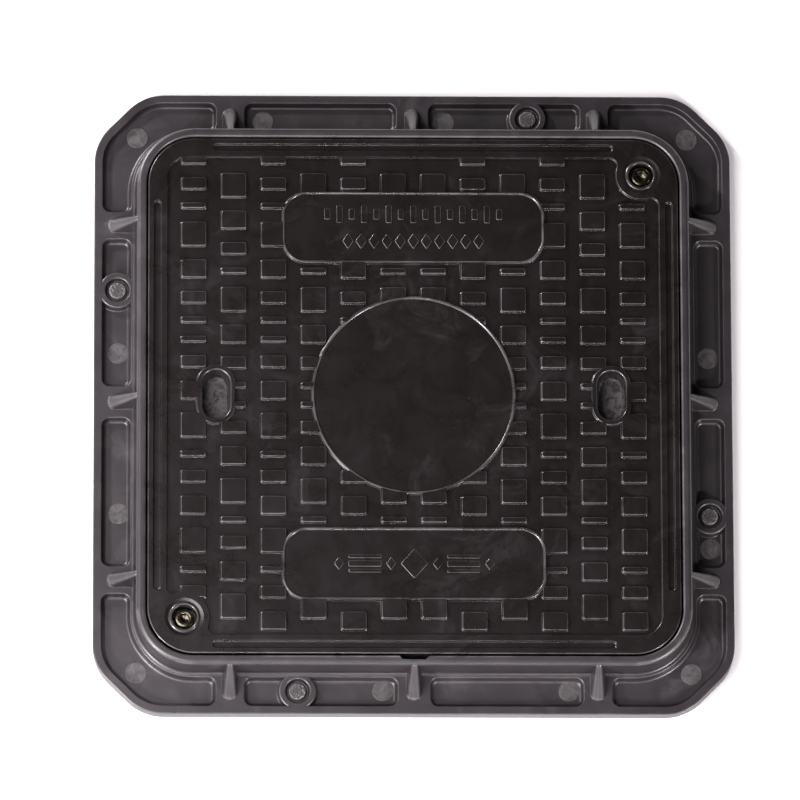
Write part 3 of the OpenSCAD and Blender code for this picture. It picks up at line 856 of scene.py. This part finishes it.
def build_frame(s, lid, f, seed):
    """The moulded frame, in millimetres."""
    rng = random.Random(seed)
    gates = s.gate_x, -s.gate_at
    screws = [(side * lid.screw_at, side * lid.screw_at) for side in (1, -1)]
    m = flange_and_rim(s, gates)
    cut_well(m, s, screws)
    cut_seats(m, s, f, screws)
    m.cut([pry_notch(s, rng)])
    add_gates(m, s, gates, rng)
    return m


# ------------------------------------------------------------------ the lid


def field_outline(s):
    """The sunk field, with a plain lobe of the border round each screw."""
    half, at = s.half - s.border, s.screw_at
    edge = half - at
    y = edge - s.lobe_fillet
    x = -math.sqrt((s.lobe_r + s.lobe_fillet) ** 2 - y * y)
    rest = 90 - math.degrees(math.atan2(-x, y))

    def lobe():
        """Up the right side, round the screw and on along the top, about the back right screw."""
        points = arc((at + y, at + x), s.lobe_fillet, 0, 90 + rest)
        points += arc((at, at), s.lobe_r, 270 + rest, 180 - rest)[1:-1]
        return points + arc((at + x, at + y), s.lobe_fillet, -rest, 90)

    near = half - s.field_r
    outline = lobe() + arc((-near, near), s.field_r, 90, 180)
    return outline + [-p for p in lobe()] + arc((near, -near), s.field_r, 270, 360)


def block_spans(s, middle):
    """Lower and upper ends of one column's blocks, mirrored about a line."""
    lengths = [s.block_step * k for k in (1, 2, 3, 4)]
    limit = s.half - s.border
    spans = []
    for way in (-1, 1):
        start = s.block_gap / 2
        k = 0
        while start < limit + s.flip_y + sum(lengths):
            size = lengths[k % 4]
            ends = sorted((middle + way * start, middle + way * (start + size)))
            shown = min(ends[1], limit) - max(ends[0], -limit)
            if shown > min(2.2, size / 2):
                spans.append((max(ends[0], -limit - 3), min(ends[1], limit + 3)))
            start += size + s.block_gap
            k += 1
    return spans


def tread_blocks(s):
    """The blocks of the tread, less what falls inside the beads."""
    profile = raised(s.field_z, s.top - SHY, s.edge, 0.65, 0.3)
    columns = int((s.half - s.border - s.block_w / 2) / s.column - 0.5)
    shells = []
    for i in range(columns + 1):
        for side in (-1, 1):
            x = side * (i + 0.5) * s.column
            for low, high in block_spans(s, s.flip_y if i % 2 else 0.0):
                r = min(1.6, (high - low) / 2.05)
                outline = box_outline(
                    x - s.block_w / 2, low, x + s.block_w / 2, high, r, COARSE
                )
                shells.append(prism(outline, profile))
    tread = Moulding("tread", shells)
    through = [(0, s.field_z - 2), (0, s.top + 2)]
    tread.cut(
        [prism(inset(circle(s.disc_r), s.bead / 2), through)]
        + [prism(inset(plaque_outline(s, side), s.bead / 2), through) for side in (-1, 1)]
    )
    return tread.shells()


def plaque_outline(s, side):
    """The plaque on one side of the middle."""
    w, h, y = s.plaque_w / 2, s.plaque_h / 2, side * s.plaque_at
    return box_outline(-w, y - h, w, y + h, s.plaque_r)


def dish(s):
    """Profile of a plain face inside a raised bead."""
    face, top, w, r = s.top - s.face_d, s.top, s.bead, 0.75
    inner = [(w + 0.1 - r * (1 - math.sin(t)), top - r * (1 - math.cos(t))) for t in ROUND[1:3]]
    bead = raised(s.field_z, top, r, 0.4, 0.12)
    return bead + inner + [(w + 0.35, face + 0.06), (w + 0.7, face)]


def plaque_relief(s):
    """Plain ornament on the plaques: two rows of bars and lozenges, and a tapered divider."""
    face = s.top - s.face_d
    profile = [(-0.15, face - 0.5), (-0.12, face - SHY), (0.0, face + 0.12), (0.08, face + 0.42),
               (0.3, face + 0.55)]

    def bar(x, y, w, h, r):
        return prism(box_outline(x - w, y - h, x + w, y + h, r, COARSE), profile)

    def lozenge(x, y, w, h, r):
        rhomb = [(x - w, y), (x, y - h), (x + w, y), (x, y + h)]
        return prism(rounded(rhomb, r, COARSE), profile)

    back, front = s.plaque_at, -s.plaque_at
    shells = [
        bar((k - 7) * 7.7, back + 8.5, 1.9, 5.6 if k % 2 else 3.4, 0.8) for k in range(15)
    ]
    shells += [lozenge((k - 5) * 8.2, back - 9.0, 3.4, 5.2, 0.6) for k in range(11)]
    shells.append(lozenge(0, front, 8.5, 9.5, 0.8))
    for side in (-1, 1):
        shells += [lozenge(side * x, front, 3.0, 4.2, 0.5) for x in (14.5, 47.0)]
        shells += [
            bar(side * 30.75, y, 10.25, h, 0.9)
            for y, h in ((front + 4.6, 1.1), (front - 4.6, 1.1), (front, 1.9))
        ]
    return shells


def deep_area(s, by=0.0):
    """The area of the deep ribs, drawn in by a distance: a rounded square less two screw posts."""
    half, r, post = 147 - by, 27 - by, 15 + by
    centre, at = half - r, s.screw_at
    gap = (at - centre) * math.sqrt(2)
    along = (r * r - post * post + gap * gap) / (2 * gap)
    aside = math.degrees(math.acos(along / r))
    bite = math.degrees(math.acos((gap - along) / post))
    corner = arc((centre, centre), r, 0, 45 - aside)
    corner += arc((at, at), post, 225 + bite, 225 - bite)[1:-1]
    corner += arc((centre, centre), r, 45 + aside, 90)
    return (corner + arc((-centre, centre), r, 90, 180)
            + [-p for p in corner] + arc((centre, -centre), r, 270, 360))


def lid_ribs(s):
    """The ribs as four sets: deep along X, deep along Y, short along X and short along Y."""
    t, plate = s.rib_t, s.plate_z
    lines = [k * s.rib_pitch for k in (-3, -2, -1, 0, 1, 2, 3)]

    def ribs(low, spans):
        profile = [(0.95, low), (0.55, low + 0.12), (0.4, low + 0.5), (0, plate - 0.9),
                   (-0.25, plate - 0.35), (-0.9, plate + 0.3)]
        return [
            prism(box_outline(a, p - t / 2, b, p + t / 2, 0.02), profile) for p, a, b in spans
        ]

    deep = ribs(s.rib_z, [(p, -145.2, 145.2) for p in lines])
    short = []
    for p in lines + [-4 * s.rib_pitch, 4 * s.rib_pitch]:
        start = 146.0 if abs(p) < 4 * s.rib_pitch else 133.0
        stop = reach(s.half - 1.5, s.corner_r - 1.5, p) - 0.5
        short += [(p, start, stop), (p, -stop, -start)]
    short = ribs(s.seat_z + 0.1, short)
    across = [([(y, x, z + 0.03) for x, y, z in points], faces) for points, faces in deep]
    short_across = [([(y, x, z + 0.03) for x, y, z in points], faces) for points, faces in short]
    return deep, across, short, short_across


def lid_plate(s, f, screws):
    """The lid's plate and skirt, with all that stands under them."""
    m = Moulding("lid_moulding", [prism(
        square_outline(s.half, s.corner_r), slab(s.seat_z, s.top, 0.35, 0.8),
    )])
    plate = s.plate_z
    m.cut([prism(
        square_outline(s.half - 3.5, s.corner_r - 3.5),
        [(-0.4, s.seat_z - 1), (-0.4, s.seat_z - SHY), (0, s.seat_z + 0.4), (0.3, plate - 1.4),
         (0.55, plate - 0.6), (1.6, plate)],
    )])
    for ribs in lid_ribs(s):
        m.add(ribs)
    seat = section(5, s.seat_z, plate + 0.4, 0.4, 0.0)
    m.add([prism(square_outline(f.gasket_half, f.gasket_r), seat, closed=True)])
    m.add(deep_wall(s))
    m.add([prism(circle(11, at), [
        (0.4, s.seat_z + 0.05), (0, s.seat_z + 0.5), (-0.2, plate - 0.8), (-0.9, plate + 0.3)])
        for at in screws])
    low = s.key_z - 3
    m.add([
        prism(slot_outline(s.key_w + 6, s.key_l + 6, (side * s.key_at, 0)), hung(low, plate))
        for side in (-1, 1)
    ])
    spurs = []
    for side in (-1, 1):
        ends = sorted((side * (s.key_at + 2), side * (s.key_at + s.key_w / 2 + s.hook_d + 3)))
        y = s.hook_w / 2 + 3
        spurs.append(prism(box_outline(ends[0], -y, ends[1], y, 1.2), hung(low + 0.03, plate)))
    return m.add(spurs)


def deep_wall(s):
    """The wall that closes the deep ribs off."""
    low, plate = s.rib_z, s.plate_z
    wall = Moulding("wall", [prism(deep_area(s), [
        (0.4, low + 0.06), (0.05, low + 0.4), (0, plate - 0.8), (-0.6, plate + 0.35)])])
    wall.cut([prism(deep_area(s, s.rib_t + 1.5), [
        (-0.4, low - 1), (-0.4, low + 0.06), (0, low + 0.5), (0.3, plate + 1)])])
    return wall.shells()


def add_tread(m, s):
    """Cuts the sunk field and adds the blocks, the disc, the plaques and the key collars."""
    m.cut([prism(field_outline(s), sunk(s.field_z, s.top, s.edge, 0.35, 0.14))])
    m.add(tread_blocks(s))
    faces = [circle(s.disc_r), plaque_outline(s, -1), plaque_outline(s, 1)]
    m.add([prism(outline, dish(s)) for outline in faces])
    m.add(plaque_relief(s))
    w, h = s.key_w + 2 * s.key_collar, s.key_l + 2 * s.key_collar
    collar = raised(s.field_z, s.top, s.edge, 0.7, 0.0)
    m.add([prism(slot_outline(w, h, (side * s.key_at, 0)), collar) for side in (-1, 1)])


def cut_key_slots(m, s):
    """Cuts the two key slots and the undercuts that a lifting key hooks into."""
    floor, top = s.key_z, s.top
    slot = [
        (3.4, floor), (2.5, floor + 0.25), (1.9, floor + 0.9), (1.5, floor + 2.0),
        (0.35, top - 2.4), (0.25, top - 1.1), (0.05, top - 0.6), (-0.3, top - 0.2),
        (-0.8, top + SHY), (-0.8, top + 1),
    ]
    m.cut([prism(slot_outline(s.key_w, s.key_l, (side * s.key_at, 0)), slot) for side in (-1, 1)])
    hook = [(0.6, floor + 0.5), (0, floor + 1.1), (0, s.plate_z - 0.5), (0.4, s.plate_z)]
    hooks = []
    for side in (-1, 1):
        ends = sorted((side * s.key_at, side * (s.key_at + s.key_w / 2 + s.hook_d)))
        w = s.hook_w / 2
        hooks.append(prism(box_outline(ends[0], -w, ends[1], w, 0.8), hook))
    m.cut(hooks)


def cut_border(m, s, screws):
    """Cuts the border grooves, the screws' counterbores and holes, and a hollow round each."""
    groove = slot_outline(s.groove_w, s.groove_l, (s.half - s.groove_in, 0))
    m.cut(turned([prism(groove, sunk(s.top - s.groove_d, s.top, 0.35, 0.6, 0.25))]))
    bore = sunk(s.bore_z, s.top, 0.75, 0.2, 0.0)
    m.cut([prism(circle(s.bore_r, at), bore) for at in screws])
    m.cut([prism(circle(s.hole_r, at), [(0, s.seat_z - 2), (0, s.bore_z + 2)]) for at in screws])
    hollow = [(8.95, 0.02), (9.2, -0.07), (9.42, -0.24), (9.65, -0.4), (10.1, -0.44),
              (11.0, -0.26), (12.0, -0.06), (12.5, 0.02), (12.5, 1), (8.95, 1)]
    ring = loft([ring_of(s.top + z, r) for r, z in hollow], closed=True)
    for x, y in screws:
        m.cut(shifted([ring], x, y))


def build_lid(s, f):
    """The moulded lid, in millimetres."""
    screws = [(side * s.screw_at, side * s.screw_at) for side in (1, -1)]
    m = lid_plate(s, f, screws)
    add_tread(m, s)
    cut_key_slots(m, s)
    cut_border(m, s, screws)
    return m


# ------------------------------------------------------------------ the fixings


def ring_of(z, radius, turn=0.0, teeth=0.0):
    """A ring of points. Every second point is drawn in where it has teeth."""
    points = []
    for k in range(RING_STEPS):
        r = radius(k / RING_STEPS) if callable(radius) else radius
        r -= teeth if k % 2 else 0.0
        a = 2 * math.pi * k / RING_STEPS + turn
        points.append((r * math.cos(a), r * math.sin(a), z))
    return points


def thread_ring(z, crest, depth, pitch, fade):
    """A ring across a helical thread."""
    def radius(share):
        phase = (z / pitch - share) % 1.0
        flank = max(0.0, min(1.0, abs(2 * phase - 1) * 1.5 - 0.2))
        return crest - depth * (1 - flank * fade)
    return ring_of(z, radius)


def screw_shell(s):
    """One lock screw about its own axis: helical thread, shank and knurled head."""
    root, r = s.thread_r - s.thread_d, s.thread_r
    low, under, top, head = s.tip_z, s.head_z, s.head_top, s.head_r
    rings = [ring_of(low, root - 0.9), ring_of(low + 0.15, root - 0.5), ring_of(low + 0.5, root)]
    z, stop = low + 0.7, under - 3.4
    while z < stop:
        fade = min(1.0, (z - low - 0.6) / 1.0, (stop - z) / 0.8 + 0.05)
        rings.append(thread_ring(z, r, s.thread_d, s.pitch, max(fade, 0.0)))
        z += s.pitch / 9
    rings += [ring_of(stop + 0.2, root), ring_of(stop + 0.7, r - 0.05),
              ring_of(under - 0.3, r - 0.05), ring_of(under, r + 0.25), ring_of(under, head - 0.5)]
    knurl = 0.14
    rings += [ring_of(under + 0.05, head - 0.2), ring_of(under + 0.3, head, teeth=knurl * 0.2),
              ring_of(under + 0.6, head, teeth=knurl), ring_of(top - 1.9, head, teeth=knurl),
              ring_of(top - 1.6, head - 0.02, teeth=knurl * 0.2), ring_of(top - 1.3, head - 0.07),
              ring_of(top - 0.85, head - 0.3), ring_of(top - 0.45, head - 0.72),
              ring_of(top - 0.2, head - 1.2), ring_of(top - 0.05, head - 1.8),
              ring_of(top, head - 2.4), ring_of(top, 3.75), ring_of(top - 0.08, 3.6)]
    return loft(rings)


def socket_tool(s):
    """The hexagon socket, chamfered at its mouth and drilled at its floor."""
    r = s.socket_af / math.sqrt(3)
    hexagon = [(r * math.cos(a), r * math.sin(a)) for a in turns(6)]
    floor = s.head_top - s.socket_d
    return prism(rounded(hexagon, 0.12, 0.03), [
        (1.9, floor - 0.45), (0.9, floor - 0.2), (0.15, floor), (0, floor + 0.1),
        (0, s.head_top - 0.75), (-0.2, s.head_top - 0.45), (-0.5, s.head_top - 0.15),
        (-0.7, s.head_top - 0.04), (-0.7, s.head_top + 1)])


def insert_shell(s):
    """One threaded insert: two knurled bands twisted against each other, and a flange."""
    low, top, r, bore = s.insert_z, s.insert_top, s.insert_r, s.insert_bore
    barrel, waist, twist = r - 0.35, r - 0.5, math.radians(11)
    under = top - s.flange_t
    mid = (low + under) / 2
    rings = [ring_of(low, bore + 0.5), ring_of(low, waist - 0.2), ring_of(low + 0.3, waist)]
    bands = (low + 0.6, mid - 0.5, 0.0, twist), (mid + 0.5, under - 0.7, twist, 0.0)
    for start, stop, first, last in bands:
        rings.append(ring_of(start - 0.15, barrel - 0.15, turn=first))
        for k in range(6):
            share = k / 5
            rings.append(ring_of(start + (stop - start) * share, r,
                                 turn=first + (last - first) * share, teeth=0.38))
        rings.append(ring_of(stop + 0.15, barrel - 0.15, turn=last))
    rings += [ring_of(under, waist), ring_of(under, s.flange_r - 0.15),
              ring_of(under + 0.15, s.flange_r), ring_of(top - 0.2, s.flange_r),
              ring_of(top, s.flange_r - 0.2), ring_of(top, bore + 0.55),
              ring_of(top - 0.45, bore + 0.1)]
    z = top - 0.7
    while z > low + 0.6:
        def radius(share, z=z):
            phase = (z / s.pitch - share) % 1.0
            return bore + 0.42 * min(1.0, abs(2 * phase - 1) * 1.4)
        rings.append(ring_of(z, radius))
        z -= s.pitch / 8
    rings.append(ring_of(low + 0.35, bore + 0.1))
    return loft(rings, closed=True)


def annulus(inner, outer, low, top, edge, crown=0.0):
    """A flat ring with rounded edges, and a crown on its faces where it is soft."""
    mid, half = (inner + outer) / 2, (outer - inner) / 2
    path = [(-by, z) for by, z in foot(-half, low, edge) + shoulder(-half, top, edge)]
    if crown:
        path += [(half * 0.55, top - crown), (half * 0.3, top)]
    back = [(-by, z) for by, z in reversed(path)]
    return loft([ring_of(z, mid + by) for by, z in path + back], closed=True)


def gasket_shell(s, seat_z):
    """The gasket: a rubber band with two sealing lips."""
    half, low = s.gasket_w / 2, s.gasket_z
    side = [(half - 0.5, low), (half - 0.12, low + 0.15), (half, low + 0.5), (half, seat_z - 0.7),
            (half - 0.12, seat_z - 0.25), (half - 0.45, seat_z), (half - 0.85, seat_z),
            (half - 1.2, seat_z - 0.22), (half - 1.5, seat_z - 0.32)]
    path = side + [(-by, z) for by, z in reversed(side)]
    return prism(square_outline(s.gasket_half, s.gasket_r), path, closed=True)


# ------------------------------------------------------------------ operators


class CoverOperator:
    """What the operators share."""

    bl_options = {"REGISTER", "UNDO"}

    @staticmethod
    def sizes(context):
        scene = context.scene
        return (Millimetres(scene.cover_frame), Millimetres(scene.cover_lid),
                Millimetres(scene.cover_fixings), scene.cover_finishes, scene.cover_stage)

    @staticmethod
    def pair(lid, shell, name, body, slot, skin, node, tool=None):
        """Builds a fixing at both lock screws, and cuts a tool from it where one is given."""
        for side, at in (("right", lid.screw_at), ("left", -lid.screw_at)):
            m = Moulding(f"{name}_{side}", shifted([shell], at, at))
            if tool:
                m.cut(shifted([tool], at, at))
            piece(m, body.format(side), skin, [f"{node}_{side}"])


class COVER_OT_stage(CoverOperator, bpy.types.Operator):
    """Set up the floor, the soft lights, the world and the camera"""

    bl_idname = "cover.stage"
    bl_label = "Studio stage"

    def execute(self, context):
        finishes, stage = context.scene.cover_finishes, context.scene.cover_stage
        mesh = bpy.data.meshes.new("studio_floor")
        count, depth = 64, -0.0002
        points = [
            (r * math.cos(a), r * math.sin(a), depth) for r in (0.6, 3, 9) for a in turns(count)
        ]
        faces = [tuple(range(count))]
        for i in (0, count):
            far = i + count
            faces += [
                (i + k, far + k, far + (k + 1) % count, i + (k + 1) % count) for k in range(count)
            ]
        mesh.from_pydata(points, [], faces)
        mesh.materials.append(floor_paper("studio_paper", finishes.floor))
        floor = bpy.data.objects.new("studio_floor", mesh)
        context.scene.collection.objects.link(floor)
        # Name, place, power and size of each soft light
        for name, place, power, size in (
            ("key_softbox", (-0.73, -0.43, 1.35), 36.0, 1.1),
            ("front_left_lamp", (-1.5, -1.1, 0.95), 62.0, 0.17),
            ("back_left_lamp", (-1.3, 1.3, 0.9), 46.0, 0.17),
            ("front_right_lamp", (1.3, -1.4, 0.95), 48.0, 0.17),
            ("front_lamp", (-0.1, -1.9, 0.9), 12.0, 0.2),
        ):
            lamp = bpy.data.lights.new(name, "AREA")
            lamp.energy, lamp.size, lamp.color = power, size, LAMP_TINT
            o = bpy.data.objects.new(name, lamp)
            o.location = place
            o.rotation_mode = "QUATERNION"
            o.rotation_quaternion = Vector(place).to_track_quat("Z", "Y")
            context.scene.collection.objects.link(o)
        self.world(context)
        self.camera(context, stage)
        context.scene.view_settings.view_transform = "Standard"
        return {"FINISHED"}

    @staticmethod
    def world(context):
        """Soft walls of light round the stage, brighter at the front left, and a dark top."""
        world = bpy.data.worlds.new("studio")
        context.scene.world = world
        g = Graph(world)
        way = g.node("TexCoord", output="Generated")
        height = g.node("SeparateXYZ", {}, {0: way}, "Z")
        side = g.node("VectorMath", {"operation": "DOT_PRODUCT"},
                      {0: way, 1: (-0.62, -0.78, 0.0)}, "Value")
        wall = g.ramp(height, (0.0, 1.0), (0.45, 1.0), (0.80, 0.0))
        level = wall * (0.22 + side * 0.10) + 0.015
        seen = g.node("LightPath", output="Is Camera Ray")
        light = g.node("Background", {}, {"Strength": level})
        plain = g.node("Background", {}, {"Color": (1, 1, 1, 1), "Strength": 1.0})
        both = g.node("MixShader", {}, {0: seen, 1: light, 2: plain})
        g.node("OutputWorld", {}, {0: both}, None)

    @staticmethod
    def camera(context, stage):
        a, e, r = stage.azimuth, stage.elevation, stage.roll
        back = Vector((math.sin(a) * math.cos(e), -math.cos(a) * math.cos(e), math.sin(e)))
        right = Vector((math.cos(a), math.sin(a), 0))
        up = back.cross(right)
        x, y = math.cos(r) * right + math.sin(r) * up, math.cos(r) * up - math.sin(r) * right
        data = bpy.data.cameras.new("camera")
        data.lens, data.sensor_width = stage.lens, 36
        data.clip_start, data.clip_end = 0.1, 60
        camera = bpy.data.objects.new("camera", data)
        target = Vector((0.0, 0.0, AIM_HEIGHT * MM)) - x * (AIM_LEFT * MM) + y * (AIM_UP * MM)
        place = Matrix((x, y, back)).transposed().to_4x4()
        place.translation = target + back * stage.distance
        camera.matrix_world = place
        context.scene.collection.objects.link(camera)
        context.scene.camera = camera


class COVER_OT_frame(CoverOperator, bpy.types.Operator):
    """Build the moulded frame"""

    bl_idname = "cover.frame"
    bl_label = "Frame"

    def execute(self, context):
        s, lid, f, finishes, stage = self.sizes(context)
        skin = polymer(
            "frame_polymer", finishes.frame_dark, finishes.frame_pale, finishes.scuff, 0.33, 1.0
        )
        moulding = build_frame(s, lid, f, stage.seed)
        piece(moulding, "frame", skin, ["frame"], self.marks(s))
        return {"FINISHED"}

    @staticmethod
    def marks(s):
        """Tells how pale a point of the frame is: the ejector marks and the cut gate stubs."""
        pins = [Vector(at) for at in ejector_marks()]
        x, y = s.gate_x, s.gate_at
        gates = [Vector(at) for at in ((x, -y), (y, x), (-x, y), (-y, -x))]

        def pale_at(p):
            if 5.29 < p.z < 5.4 and min((p.xy - at).length for at in pins) < s.pin_r + 0.1:
                return 1.0
            if 7 < p.z < 9.5 and min((p.xy - at).length for at in gates) < s.stub_r + 0.1:
                return 0.4
            return 0.0

        return pale_at


class COVER_OT_lid(CoverOperator, bpy.types.Operator):
    """Build the moulded lid with its tread, plaques, key slots and ribs"""

    bl_idname = "cover.lid"
    bl_label = "Lid"

    def execute(self, context):
        _, s, f, finishes, _ = self.sizes(context)
        skin = polymer(
            "lid_polymer", finishes.lid_dark, finishes.lid_pale, finishes.scuff, 0.22, 0.4
        )

        def pale_at(p):
            """Painted light: the key slots' floors are paler, fading out 2.6 mm up the walls and
            mottled in the material, standing in for light that falls into the deep slots.
            """
            in_slot = abs(abs(p.x) - s.key_at) < s.key_w and abs(p.y) < s.key_l / 2
            if not in_slot or p.z <= s.key_z - 0.5:
                return 0.0
            return max(0.0, min(2.6, s.key_z + 2.6 - p.z))

        piece(build_lid(s, f), "lid", skin, ["lid"], pale_at)
        return {"FINISHED"}


class COVER_OT_gasket(CoverOperator, bpy.types.Operator):
    """Build the gasket in the frame's ledge"""

    bl_idname = "cover.gasket"
    bl_label = "Gasket"

    def execute(self, context):
        _, lid, s, finishes, _ = self.sizes(context)
        m = Moulding("seat_gasket_band", [gasket_shell(s, lid.seat_z)])
        skin = rubber("gasket_rubber", finishes.rubber)
        piece(m, "frame", skin, ["seat_gasket"])
        return {"FINISHED"}


class COVER_OT_inserts(CoverOperator, bpy.types.Operator):
    """Build the two brass threaded inserts"""

    bl_idname = "cover.inserts"
    bl_label = "Threaded inserts"

    def execute(self, context):
        _, lid, s, finishes, _ = self.sizes(context)
        skin = turned_metal("insert_brass", finishes.brass, 0.45, 0.28)
        self.pair(lid, insert_shell(s), "insert", "frame", "insert_brass", skin, "threaded_insert")
        return {"FINISHED"}


class COVER_OT_seal_rings(CoverOperator, bpy.types.Operator):
    """Build the two rubber seal rings"""

    bl_idname = "cover.seal_rings"
    bl_label = "Seal rings"

    def execute(self, context):
        _, lid, s, finishes, _ = self.sizes(context)
        skin = rubber("seal_rubber", finishes.rubber)
        shell = annulus(s.ring_in, s.ring_out, lid.bore_z, s.washer_z, 0.4, 0.12)
        self.pair(lid, shell, "seal", "lid", "seal_rubber", skin, "seal_ring")
        return {"FINISHED"}


class COVER_OT_washers(CoverOperator, bpy.types.Operator):
    """Build the two flat washers"""

    bl_idname = "cover.washers"
    bl_label = "Washers"

    def execute(self, context):
        _, lid, s, finishes, _ = self.sizes(context)
        skin = turned_metal("washer_steel", finishes.steel, 0.5, 0.34)
        shell = annulus(s.ring_in, s.ring_out, s.washer_z, s.head_z, 0.18)
        self.pair(lid, shell, "flat_washer", "washer_{}", "fastener_steel", skin, "washer")
        return {"FINISHED"}


class COVER_OT_screws(CoverOperator, bpy.types.Operator):
    """Build the two socket-head lock screws"""

    bl_idname = "cover.screws"
    bl_label = "Lock screws"

    def execute(self, context):
        _, lid, s, finishes, _ = self.sizes(context)
        skin = turned_metal("screw_steel", finishes.steel, 0.35, 0.14)
        self.pair(lid, screw_shell(s), "screw", "screw_{}", "fastener_steel", skin, "lock_screw",
                  socket_tool(s))
        return {"FINISHED"}


class COVER_PT_panel(bpy.types.Panel):
    """Lists the cover's pieces and its stage"""

    bl_idname = "COVER_PT_panel"
    bl_label = "Access cover"
    bl_space_type = "VIEW_3D"
    bl_region_type = "UI"
    bl_category = "Cover"

    def draw(self, context):
        for operator in OPERATORS:
            self.layout.operator(operator.bl_idname)


OPERATORS = (
    COVER_OT_stage, COVER_OT_frame, COVER_OT_lid, COVER_OT_gasket, COVER_OT_inserts,
    COVER_OT_seal_rings, COVER_OT_washers, COVER_OT_screws,
)
GROUPS = {
    "cover_frame": CoverFrameSizes, "cover_lid": CoverLidSizes, "cover_fixings": CoverFixingSizes,
    "cover_finishes": CoverFinishes, "cover_stage": CoverStage,
}
CLASSES = (*GROUPS.values(), *OPERATORS, COVER_PT_panel)


def register():
    """Registers the classes and hangs the sizes on the scene."""
    for cls in CLASSES:
        bpy.utils.register_class(cls)
    for name, group in GROUPS.items():
        setattr(bpy.types.Scene, name, PointerProperty(type=group))


def unregister():
    """Takes away what register added."""
    for name in GROUPS:
        delattr(bpy.types.Scene, name)
    for cls in reversed(CLASSES):
        bpy.utils.unregister_class(cls)


def main():
    """Builds the stage and every piece."""
    register()
    for operator in OPERATORS:
        group, name = operator.bl_idname.split(".")
        getattr(getattr(bpy.ops, group), name)()


if __name__ == "__main__":
    main()
